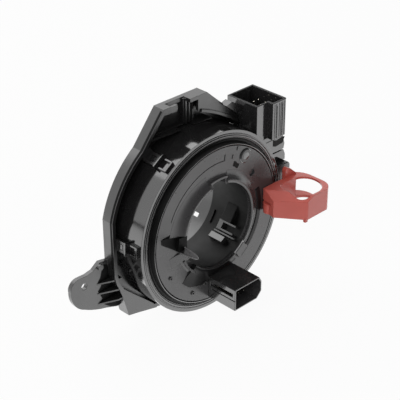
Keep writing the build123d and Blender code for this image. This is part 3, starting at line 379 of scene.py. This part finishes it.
def refinish(piece, holds, finish):
    # faces whose corners all pass the test get a finish of their own
    piece.data.materials.append(finishes[finish])
    last = len(piece.data.materials) - 1
    passes = [holds(vert.co.x / mm, (vert.co.y + sleeveEnd) / mm, vert.co.z / mm)
              for vert in piece.data.vertices]
    for face in piece.data.polygons:
        if all(passes[corner] for corner in face.vertices):
            face.material_index = last


def carve(piece, cutterMesh):
    cutter = bpy.data.objects.new("cutter", cutterMesh)
    bpy.context.scene.collection.objects.link(cutter)
    cut = piece.modifiers.new("carve", "BOOLEAN")
    cut.operation = "DIFFERENCE"
    cut.object = cutter
    cut.solver = "EXACT"
    bpy.context.view_layer.update()
    graph = bpy.context.evaluated_depsgraph_get()
    carved = bpy.data.meshes.new_from_object(piece.evaluated_get(graph))
    piece.modifiers.clear()
    piece.data = carved
    bpy.data.objects.remove(cutter)


# front cover: pressed ring with a bead and two fine grooves outside its steep inner slope; the band over
# that slope is painted near black for the shade in the groove
coverLook = {
    "steps": 240,
    "section": [
        (49.25, 4.0), (49.25, -0.2), (49.1, -0.4), (48.8, -0.4), (48.62, -0.05), (48.4, -0.05),
        (48.22, -0.38), (47.95, -0.5), (47.6, -0.5), (47.35, -0.36), (47.2, -0.1), (47.08, -0.1),
        (46.95, -0.3), (46.85, 0.0), (46.7, 0.15), (45.5, 0.15), (45.3, 0.1), (45.15, -0.2), (44.8, -1.6),
        (44.62, -2.6), (44.56, -2.84), (44.45, -2.96), (44.1, -2.98), (43.95, -2.85), (43.9, -2.6),
        (43.9, 1.0), (45.1, 1.0), (46.5, 0.8), (48.05, 0.8), (48.05, 4.0)],
    "window": [(47.3, -0.1), (48.9, -0.1), (48.9, 5.1), (47.3, 5.1)], "windowDepth": (-2, 2),
    "dull": (44.52, 46.8),
}


def makeCover(look):
    mesh = turnedMesh("coverRing", lambda angle: look["section"], look["steps"])
    ring = addPiece("coverRing", mesh, "coverPlastic", "stator", 50)
    carve(ring, blockMesh("coverWindow", look["window"], look["windowDepth"]))
    # the faces of the band over the steep slope take the painted shade finish
    inner, outer = look["dull"]
    refinish(ring, lambda x, depth, z: inner < math.hypot(x, z) < outer, "grooveShadePlastic")
    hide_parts("front_cover")


makeCover(coverLook)
print("cover made")


# rotor: the trumpet flare round the bore, in arcs between the channel, the steps and the plug; the lower arc
# is painted darker for shade
flareLook = {
    "rise": 2.15, "face": -2.92, "root": -2.5, "bore": 23.88, "crest": 25.6, "curve": 2.0, "slopeSteps": 12,
    "lip": [(0.5, -0.08), (1.1, -0.02), (1.5, 0.25), (1.7, 0.6)], "steps": 40, "leastSteps": 10,
    "arcs": {
        "flareUpperLeft": (105.0, 170.0, "rotorPlastic"), "flareLeft": (190.5, 201.5, "rotorPlastic"),
        # the lower arc's finish is painted shade
        "flareLower": (224.0, 297.5, "shadePlastic"), "flareRight": (317.0, 437.0, "rotorPlastic")},
    "reach": [
        (0, 30.6), (30, 30.4), (75, 30.4), (105, 32.4), (150, 34.2), (200, 35.2), (235, 36.2), (262, 33.0),
        (285, 31.0), (320, 31.6), (360, 30.6)],
}


def reachAt(look, angle):
    # the flare's outer radius at an angle, from the list of (angle, radius)
    turn = angle % 360
    for (fromAngle, fromReach), (toAngle, toReach) in zip(look["reach"], look["reach"][1:]):
        if turn <= toAngle:
            share = (turn - fromAngle) / (toAngle - fromAngle)
            return fromReach + (toReach - fromReach) * share


def makeFlare(look):
    face, crest = look["face"], look["crest"]
    top = face - look["rise"]

    def section(angle):
        outer = reachAt(look, angle)
        shares = [step / look["slopeSteps"] for step in range(look["slopeSteps"] + 1)]
        slope = [(outer + (crest - outer) * share, face - look["rise"] * share ** look["curve"])
                 for share in shares]
        lip = [(crest - inward, top + drop) for inward, drop in look["lip"]]
        return slope + lip + [(look["bore"], look["root"]), (outer, look["root"])]

    for name, (start, end, finish) in look["arcs"].items():
        # the steps are for a sixth of a turn
        steps = max(look["leastSteps"], int(look["steps"] * (end - start) / 60))
        mesh = turnedMesh(name, section, steps, start, end - start)
        addPiece(name, mesh, finish, "rotor", 40)


makeFlare(flareLook)
print("flare made")


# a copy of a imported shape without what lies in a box; it keeps the split edges, so its shading stays true
def trimmedCopy(name, nodeName, box):
    low, high = [placed(*corner) for corner in box]
    shape = bmesh.new()
    shape.from_mesh(nodes[nodeName].data)

    def near(face):
        return all(min(vert.co[axis] for vert in face.verts) < high[axis]
                   and max(vert.co[axis] for vert in face.verts) > low[axis] for axis in range(3))

    for limits in (low, high):
        for axis in range(3):
            faces = [face for face in shape.faces if near(face)]
            parts = faces + list(dict.fromkeys(edge for face in faces for edge in face.edges))
            parts += dict.fromkeys(vert for face in faces for vert in face.verts)
            place, side = Vector((0, 0, 0)), Vector((0, 0, 0))
            place[axis], side[axis] = limits[axis], 1
            bmesh.ops.bisect_plane(shape, geom=parts, plane_co=place, plane_no=side)
    gone = [face for face in shape.faces
            if all(low[axis] < face.calc_center_median()[axis] < high[axis] for axis in range(3))]
    bmesh.ops.delete(shape, geom=gone, context="FACES")
    mesh = bpy.data.meshes.new(name)
    shape.to_mesh(mesh)
    shape.free()
    return mesh


# rotor shell: the imported shape without its finger, with its bore painted near black for the shade inside
# it
shellLook = {"clear": ((-30, -16, -9), (-19, -4.95, 3)), "bore": 24.1}


def makeShell(look):
    mesh = trimmedCopy("rotorShell", "rotor_disc", look["clear"])
    shell = addPiece("rotorShell", mesh, "rotorPlastic", "rotor", 40)
    refinish(shell, lambda x, depth, z: math.hypot(x, z) < look["bore"], "boreShadePlastic")
    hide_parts("rotor_disc")


makeShell(shellLook)


# drive finger: a tapered gutter that stands on the bore's edge, each end given as (radius, angle, depth)
fingerLook = {
    "root": (26.8, 187.3, -3.4), "tip": (27.5, 185.0, -16.8), "half": (2.75, 1.15), "taper": 1.4,
    "flat": 0.62, "wall": 0.65, "wallShare": 0.7, "roundFrom": 0.8, "roundLeast": 0.12, "steps": 14,
    "opening": 208.0, "wrap": 200.0, "wrapSteps": 12,
}


def makeFinger(look):
    shape = bmesh.new()
    rings = []
    for step in range(look["steps"] + 1):
        share = step / look["steps"]
        radius, angle, depth = [a + (b - a) * share for a, b in zip(look["root"], look["tip"])]
        middle = spot(radius, angle, depth)
        half = look["half"][0] + (look["half"][1] - look["half"][0]) * share ** look["taper"]
        if share > look["roundFrom"]:
            rounding = (share - look["roundFrom"]) / (1 - look["roundFrom"])
            half *= math.sqrt(max(look["roundLeast"], 1 - rounding ** 2))
        wall = min(look["wall"], half * look["wallShare"])
        stops = list(range(look["wrapSteps"] + 1))
        ring = []
        for side, sweep in ((half, stops), (half - wall, stops[::-1])):
            for stop in sweep:
                turn = math.radians(look["opening"] + look["wrap"] * stop / look["wrapSteps"])
                out = Vector((math.cos(turn) * look["flat"], 0, math.sin(turn)))
                ring.append(shape.verts.new(middle + out * side * mm))
        rings.append(ring)
    joinRings(shape, rings)
    capEnds(shape, rings)
    addPiece("driveFinger", toMesh("driveFinger", shape), "fingerPlastic", "rotor", 40)


makeFinger(fingerLook)
print("rotor shell and finger made")


# mouldings in the bore and cheeks of the sleeve's slot: (back, front, inner, outer, start angle, sweep)
mouldLook = {
    "boreBlock": (13.9, 3.9, 20.75, 24.5, -61.1, 9.2), "boreWallLow": (13.1, 0.9, 21.35, 24.5, -45.1, 2.8),
    "boreWallHigh": (13.1, 0.9, 21.35, 24.5, -33.1, 2.8), "boreRail": (13.1, 9.9, 21.35, 22.65, -45.1, 14.8),
    "boreBar": (14.1, -1.1, 22.15, 24.5, -49.1, 2.2),
}
slotLook = {
    "slotSill": (30.9, 28.8, 25.4, 27.6, -46.5, 13.0), "slotCheekHigh": (33.9, 30.8, 25.4, 27.6, -38.0, 4.6),
    "slotCheekLow": (33.9, 30.8, 25.4, 27.6, -46.5, 3.2),
}
innerEdge = 0.1              # chamfer of these pieces toward the bore


def ringBlock(name, look, finish):
    back, front, inner, outer, start, sweep = look
    section = [(inner + innerEdge, front), (outer, front), (outer, back), (inner + innerEdge, back),
               (inner, back - innerEdge), (inner, front + innerEdge)]
    mesh = turnedMesh(name, lambda angle: section, max(3, int(sweep)), start, sweep)
    addPiece(name, mesh, finish, "rotor", 40)


for name, look in mouldLook.items():
    ringBlock(name, look, "plugPlastic")
for name, look in slotLook.items():
    ringBlock(name, look, "sleevePlastic")
print("mouldings made")


# rotor's face: dark sheets painting the shade in the channel beside the finger, an arc painted darker for
# shade, the dome and a dark oval sheet painting shade
channelLook = {
    "wall": (-2.6, -5.0, 23.85, 29.6, 170.6, 16.0),
    "floor": [(-40.0, 7.7), (-26.6, 4.4), (-26.0, -1.0), (-26.8, -5.4), (-33.0, -0.6), (-39.8, 4.6)],
    "floorDepth": (-2.96, -2.7), "shade": (-2.6, -3.35, 30.3, 33.0, -56.0, 74.0),
}


def makeChannel(look):
    # the channel's wall and floor are dark sheets that paint the shade in it
    ringBlock("channelShadeWall", look["wall"], "paintedShadowPlastic")
    # the arc on the face is painted darker for shade
    ringBlock("shadeArc", look["shade"], "shadePlastic")
    floor = blockMesh("channelShadeFloor", look["floor"], look["floorDepth"])
    addPiece("channelShadeFloor", floor, "paintedShadowPlastic", "rotor")


makeChannel(channelLook)


domeLook = {
    "radius": 38.8, "angle": 58.0, "base": -2.88, "half": 4.3, "rise": 1.05, "rings": 9, "spokes": 40,
}


def makeDome(look):
    shape = bmesh.new()
    middle = spot(look["radius"], look["angle"], look["base"])
    count = look["spokes"]
    turns = [2 * math.pi * spoke / count for spoke in range(count)]
    rings = []
    for step in range(look["rings"]):
        lift = math.radians(90 * step / look["rings"])
        reach, rise = look["half"] * math.cos(lift), look["rise"] * math.sin(lift)
        places = [Vector((math.cos(turn) * reach, -rise, math.sin(turn) * reach)) for turn in turns]
        rings.append([shape.verts.new(middle + place * mm) for place in places])
    top = shape.verts.new(middle + Vector((0, -look["rise"], 0)) * mm)
    joinRings(shape, rings)
    for corner in range(count):
        shape.faces.new((rings[-1][corner], rings[-1][(corner + 1) % count], top))
    shape.faces.new(reversed(rings[0]))
    addPiece("rotorDome", toMesh("rotorDome", shape), "plugPlastic", "rotor", 60)


makeDome(domeLook)


ovalLook = {
    "middle": (13.6, 30.2), "half": (2.7, 1.15), "tilt": -60.0, "depth": (-2.95, -2.7), "spokes": 32,
}


def makeOval(look):
    tilt = math.radians(look["tilt"])
    (middleX, middleZ), (halfAlong, halfAcross) = look["middle"], look["half"]
    outline = []
    for spoke in range(look["spokes"]):
        turn = 2 * math.pi * spoke / look["spokes"]
        along, across = halfAlong * math.cos(turn), halfAcross * math.sin(turn)
        outline.append((middleX + along * math.cos(tilt) - across * math.sin(tilt),
                        middleZ + along * math.sin(tilt) + across * math.cos(tilt)))
    # the oval is a thin dark sheet on the face, painting shade
    mesh = blockMesh("rotorOvalShade", outline, look["depth"])
    addPiece("rotorOvalShade", mesh, "paintedShadowPlastic", "rotor")


makeOval(ovalLook)
print("rotor's face made")


# rotor plug: thin walled mouth whose inside takes the lighter rotor finish, and a groove and a line down its
# left side
plugLook = {
    "left": -6.5, "right": 14.0, "top": -29.3, "base": -42.3, "mouth": -22.5, "foot": -2.9, "floor": -5.6,
    "corner": 3.6, "cornerInset": 0.6, "cornerHigh": (0.9, 0.55), "rim": 0.75, "edge": 0.22,
    "groove": {"low": -34.4, "high": -32.0, "deep": 0.9, "slope": (0.3, 0.4), "depth": (-20.9, -4.6)},
    "line": {"low": -36.6, "high": -35.9, "deep": 0.45}, "sharp": 30,
}
past = 1.0                   # how far a cutter stands out of what it cuts
slack = 0.05                 # room for a cut face's corners in the test for the cavity


def plugOutline(look, inset):
    left, right = look["left"] + inset, look["right"] - inset
    low, high = look["base"] + inset, look["top"] - inset
    corner = look["corner"] - inset * look["cornerInset"]
    downShare, acrossShare = look["cornerHigh"]
    return [(left, low), (right - corner, low), (right, low + corner), (right, high - corner * downShare),
            (right - corner * acrossShare, high), (left, high)]


def makePlug(look):
    outer = blockMesh("rotorPlug", plugOutline(look, 0), (look["mouth"], look["foot"]), look["edge"])
    plug = addPiece("rotorPlug", outer, "plugPlastic", "rotor", 40)
    inner = plugOutline(look, look["rim"])
    carve(plug, blockMesh("cavity", inner, (look["mouth"] - 3 * past, look["floor"])))
    groove, line, start = look["groove"], look["line"], look["left"] - past
    low, high, deep = groove["low"], groove["high"], look["left"] + groove["deep"]
    back, rise = groove["slope"]
    carve(plug, blockMesh("groove", [
        (start, low), (deep - back, low), (deep, low + rise), (deep, high - rise), (deep - back, high),
        (start, high)], groove["depth"]))
    low, high, deep = line["low"], line["high"], look["left"] + line["deep"]
    carve(plug, blockMesh("line", [(start, low), (deep, low), (deep, high), (start, high)],
                          (look["mouth"] - past, look["floor"])))
    inset = look["rim"] - slack

    def inCavity(x, depth, z):
        return (look["left"] + inset < x < look["right"] - inset
                and look["base"] + inset < z < look["top"] - inset and depth > look["mouth"] - slack)

    refinish(plug, inCavity, "rotorPlastic")
    plug.data.shade_smooth()
    plug.data.set_sharp_from_angle(angle=math.radians(look["sharp"]))
    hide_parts("rotor_connector")


makePlug(plugLook)
print("plug made")


# rear frame: a dark strip painting the shadow line along the wall's front edge, and thin ribs between the
# wall and the drum
lineLook = {
    "low": (-55.77, -11.0), "arc": ((-55.77, 16.0), (-48.6, 32.8), (-34.1, 48.5)), "high": (-20.1, 65.5),
    "arcSteps": 24, "depth": (15.45, 16.9), "wide": 0.5,
    "ribs": {"trayRibLeft": [(-29.4, 52.1), (-7.4, 50.8), (-7.4, 51.5), (-29.0, 52.8)],
             "trayRibRight": [(1.2, 51.2), (14.2, 50.3), (14.2, 50.9), (1.2, 51.8)]},
    "ribDepth": (15.0, 21.0), "ribEdge": 0.12,
}


def arcThrough(first, middle, last, steps):
    # points on the circle through three places
    (ax, az), (bx, bz), (cx, cz) = first, middle, last
    scale = 2 * (ax * (bz - cz) + bx * (cz - az) + cx * (az - bz))
    a, b, c = ax * ax + az * az, bx * bx + bz * bz, cx * cx + cz * cz
    x = (a * (bz - cz) + b * (cz - az) + c * (az - bz)) / scale
    z = (a * (cx - bx) + b * (ax - cx) + c * (bx - ax)) / scale
    start, end = [math.atan2(height - z, side - x) % (2 * math.pi) for side, height in (first, last)]
    reach = math.hypot(ax - x, az - z)
    turns = [start + (end - start) * step / steps for step in range(steps + 1)]
    return [(x + reach * math.cos(turn), z + reach * math.sin(turn)) for turn in turns]


def stripMesh(name, points, depths, wide):
    # a low crowned strip along the points
    front, back = depths
    section = [(-1, back), (-1, front + 0.1), (-0.6, front), (0.6, front), (1, front + 0.1), (1, back)]
    shape = bmesh.new()
    rows = []
    for number, (x, z) in enumerate(points):
        before = Vector(points[max(number - 1, 0)])
        after = Vector(points[min(number + 1, len(points) - 1)])
        side = (after - before).normalized().orthogonal() * wide / 2
        rows.append([shape.verts.new(placed(x + side.x * s, depth, z + side.y * s)) for s, depth in section])
    joinRings(shape, rows)
    capEnds(shape, rows)
    return toMesh(name, shape)


def makeTrayTrim(look):
    points = [look["low"]] + arcThrough(*look["arc"], look["arcSteps"]) + [look["high"]]
    # the strip paints the shadow line along the wall's edge
    groove = stripMesh("trayShadowLine", points, look["depth"], look["wide"])
    addPiece("trayShadowLine", groove, "paintedShadowPlastic", "stator", 40)
    for name, outline in look["ribs"].items():
        rib = blockMesh(name, outline, look["ribDepth"], look["ribEdge"])
        addPiece(name, rib, "framePlastic", "stator")


makeTrayTrim(lineLook)


# rear frame: smooth outer wall behind the snap loop, and a dark plate painting the shade between the ear's
# ribs
wallLook = {
    "loop": ((-60, 14.8, -0.5), (-55.92, 21.3, 7.5)),
    "patch": [(-55.9, -0.6), (-55.3, -0.6), (-55.3, 7.6), (-55.9, 7.6)], "patchDepth": (15.0, 22.5),
    "ear": [(-59.4, -8.6), (-56.2, -9.4), (-55.6, -12.0), (-52.3, -13.0), (-51.5, -23.5), (-48.4, -29.3),
            (-46.9, -35.1), (-49.5, -38.0), (-55.6, -35.8), (-62.4, -30.2), (-60.6, -28.5), (-63.3, -22.8),
            (-60.9, -20.3), (-63.1, -17.4), (-61.3, -15.2)],
    "earDepth": (20.04, 20.4),
}


def makeFrame(look):
    mesh = trimmedCopy("frameShell", "rear_frame", look["loop"])
    shell = addPiece("frameShell", mesh, "framePlastic", "stator", 40)
    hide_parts("rear_frame")
    patch = blockMesh("wallPatch", look["patch"], look["patchDepth"])
    addPiece("wallPatch", patch, "framePlastic", "stator")
    earShade = blockMesh("earShadePlate", look["ear"], look["earDepth"])
    addPiece("earShadePlate", earShade, "paintedShadowPlastic", "stator")


makeFrame(wallLook)
print("tray trim made")


# stator connector: fine ribs down its key step, a dull collar round the mouth and a dark plate painting the
# shade in the notch below it
socketLook = {
    "ribs": [44.6, 45.9, 48.3, 49.5, 50.6, 52.2], "ribWide": 0.32, "ribRise": 0.22, "ribRoot": 0.3,
    "ribEdge": 0.08, "front": -1.3, "base": 33.4, "top": 53.2,
    "collar": [(35.15, 2.75), (43.65, 2.75), (43.65, -0.65), (53.0, -0.65), (53.35, 0.0), (53.35, 23.05),
               (35.15, 23.05)],
    "mouth": 54.0, "collarHalf": 0.58,
    "collarSection": [(-1, -0.1), (-1, 0.08), (-0.85, 0.12), (0.85, 0.12), (1, 0.08), (1, -0.1)],
    "notch": [(43.8, 29.0), (43.8, 32.6), (46.6, 31.6), (51.3, 32.3), (52.9, 31.9), (51.5, 28.7),
              (46.0, 28.2)],
    "notchDepth": (-1.35, -1.1),
}


def makeSocketRibs(look):
    low, high, half = look["base"], look["top"], look["ribWide"] / 2
    depths = (look["front"] - look["ribRise"], look["front"] + look["ribRoot"])
    for number, x in enumerate(look["ribs"], 1):
        outline = [(x - half, low), (x + half, low), (x + half, high), (x - half, high)]
        rib = blockMesh("socketRib", outline, depths, look["ribEdge"])
        addPiece("socketRib" + str(number), rib, "plugPlastic", "stator")


def makeSocketCollar(look):
    # the corners are (x, depth), and each gets a mitred section of (side share, height)
    shape = bmesh.new()
    corners = look["collar"]
    rows = []
    for number, corner in enumerate(corners):
        before = (Vector(corner) - Vector(corners[number - 1])).normalized()
        after = (Vector(corners[(number + 1) % len(corners)]) - Vector(corner)).normalized()
        out = Vector((before.y + after.y, -before.x - after.x))
        out = out / (1 + before.dot(after)) * look["collarHalf"]
        rows.append([shape.verts.new(placed(corner[0] + out.x * s, corner[1] + out.y * s, look["mouth"] + h))
                     for s, h in look["collarSection"]])
    joinRings(shape, rows, True)
    addPiece("socketCollar", toMesh("socketCollar", shape), "dullPlastic", "stator", 40)


makeSocketRibs(socketLook)
makeSocketCollar(socketLook)
# a dark plate painting the shade in the notch
notch = blockMesh("socketNotchShade", socketLook["notch"], socketLook["notchDepth"])
addPiece("socketNotchShade", notch, "paintedShadowPlastic", "stator")


# the drum's seat block beside the lock
seatLook = {
    "outline": [(50.0, 13.2), (59.4, 13.2), (60.9, 11.7), (60.9, 6.0), (59.0, 3.6), (50.2, 3.6)],
    "depth": (1.0, 12.0), "edge": 0.4,
}
seat = blockMesh("lockSeat", seatLook["outline"], seatLook["depth"], seatLook["edge"])
addPiece("lockSeat", seat, "framePlastic", "stator")
print("socket trim and lock seat made")


# pale table, softboxes and a white surround
studio = {
    "tableDrop": 0.0003, "tableHalf": 3.0, "tableTone": 0.82, "shadowShare": 0.06,
    "whiteTable": 1.0, "glossyTable": 1.7, "cardSide": (-0.70, -0.714, 0), "cardEdge": (0.08, 0.15),
    "cardTone": 0.12, "white": 1.0, "fill": 0.4, "lensSide": 0.03, "backdrop": 1.5,
    "backdropTurn": (-0.1, 0.3), "away": (0.0, 1.0, 0.0),
}


def facingShare(tree, vector, direction, edges, ends):
    # runs from one end to the other as the vector turns toward the direction
    dot = tree.nodes.new("ShaderNodeVectorMath")
    dot.operation = "DOT_PRODUCT"
    dot.inputs[1].default_value = direction
    tree.links.new(vector, dot.inputs[0])
    return rangeNode(tree, dot.outputs["Value"], edges, ends, "SMOOTHSTEP")


def mathNode(tree, operation, first, second):
    node = tree.nodes.new("ShaderNodeMath")
    node.operation = operation
    for socket, value in zip(node.inputs, (first, second)):
        if isinstance(value, float):
            socket.default_value = value
        else:
            tree.links.new(value, socket)
    return node.outputs[0]


def mixShaders(tree, share, first, second):
    mix = tree.nodes.new("ShaderNodeMixShader")
    tree.links.new(share, mix.inputs[0])
    tree.links.new(first, mix.inputs[1])
    tree.links.new(second, mix.inputs[2])
    return mix.outputs[0]


def makeTable(setup):
    mesh = bpy.data.meshes.new("table")
    half, height = setup["tableHalf"], cadLow.z - setup["tableDrop"]
    corners = [(-half, -half, height), (half, -half, height), (half, half, height), (-half, half, height)]
    mesh.from_pydata(corners, [], [(0, 1, 2, 3)])
    table = bpy.data.objects.new("table", mesh)
    bpy.context.scene.collection.objects.link(table)
    material = bpy.data.materials.new("tableWhite")
    material.use_nodes = True
    tree = material.node_tree
    tree.nodes.clear()
    output = tree.nodes.new("ShaderNodeOutputMaterial")
    matte = tree.nodes.new("ShaderNodeBsdfDiffuse")
    matte.inputs[0].default_value = (*[setup["tableTone"]] * 3, 1)
    glow = tree.nodes.new("ShaderNodeEmission")
    path = tree.nodes.new("ShaderNodeLightPath")
    # a dark card lies on the table to the left of the lens, so gloss that faces it stays deep
    place = tree.nodes.new("ShaderNodeNewGeometry")
    screened = facingShare(tree, place.outputs["Position"], setup["cardSide"], setup["cardEdge"],
                           (setup["glossyTable"], setup["cardTone"]))
    strength = tree.nodes.new("ShaderNodeMix")
    strength.inputs[2].default_value = setup["whiteTable"]
    tree.links.new(path.outputs["Is Glossy Ray"], strength.inputs[0])
    tree.links.new(screened, strength.inputs[3])
    tree.links.new(strength.outputs[0], glow.inputs["Strength"])
    # the table glows white for these rays, and a small share of it stays matte, to hold the shadow
    seen = mathNode(tree, "MAXIMUM", path.outputs["Is Camera Ray"], path.outputs["Is Glossy Ray"])
    seen = mathNode(tree, "MAXIMUM", seen, path.outputs["Is Transmission Ray"])
    share = mathNode(tree, "MULTIPLY", seen, 1 - setup["shadowShare"])
    tree.links.new(mixShaders(tree, share, matte.outputs[0], glow.outputs[0]), output.inputs[0])
    table.data.materials.append(material)


def makeSurround(setup):
    world = bpy.data.worlds.new("studioSurround")
    bpy.context.scene.world = world
    world.use_nodes = True
    tree = world.node_tree
    tree.nodes.clear()
    output = tree.nodes.new("ShaderNodeOutputWorld")
    path = tree.nodes.new("ShaderNodeLightPath")
    white = tree.nodes.new("ShaderNodeBackground")
    white.inputs["Color"].default_value = (1, 1, 1, 1)
    white.inputs["Strength"].default_value = setup["white"]
    fill = tree.nodes.new("ShaderNodeBackground")
    fill.inputs["Strength"].default_value = setup["fill"]
    # gloss sees a white backdrop behind the part and a dark room on the lens side
    room = tree.nodes.new("ShaderNodeBackground")
    coords = tree.nodes.new("ShaderNodeTexCoord")
    depth = facingShare(tree, coords.outputs["Generated"], setup["away"], setup["backdropTurn"],
                        (setup["lensSide"], setup["backdrop"]))
    tree.links.new(depth, room.inputs["Strength"])
    plain = mixShaders(tree, path.outputs["Is Camera Ray"], fill.outputs[0], white.outputs[0])
    gloss = mixShaders(tree, path.outputs["Is Glossy Ray"], plain, room.outputs[0])
    tree.links.new(gloss, output.inputs[0])


softboxes = {
    "backTop": {"aim": (0.05, 0.55, 0.84), "distance": 1.1, "size": 1.2, "power": 6.0},
    "leftFront": {"aim": (-0.75, -0.35, 0.65), "distance": 1.1, "size": 0.9, "power": 4.5, "inGloss": False},
}


def makeSoftbox(name, setup):
    data = bpy.data.lights.new(name, "AREA")
    data.shape = "SQUARE"
    data.size = setup["size"]
    data.energy = setup["power"]
    lamp = bpy.data.objects.new(name, data)
    lamp.visible_glossy = setup.get("inGloss", True)
    bpy.context.scene.collection.objects.link(lamp)
    aim = Vector(setup["aim"]).normalized()
    lamp.location = aim * setup["distance"]
    lamp.rotation_mode = "QUATERNION"
    lamp.rotation_quaternion = aim.to_track_quat("Z", "Y")


makeTable(studio)
makeSurround(studio)
for boxName, boxSetup in softboxes.items():
    makeSoftbox(boxName, boxSetup)
bpy.context.scene.view_settings.view_transform = "Standard"
print("studio lit")
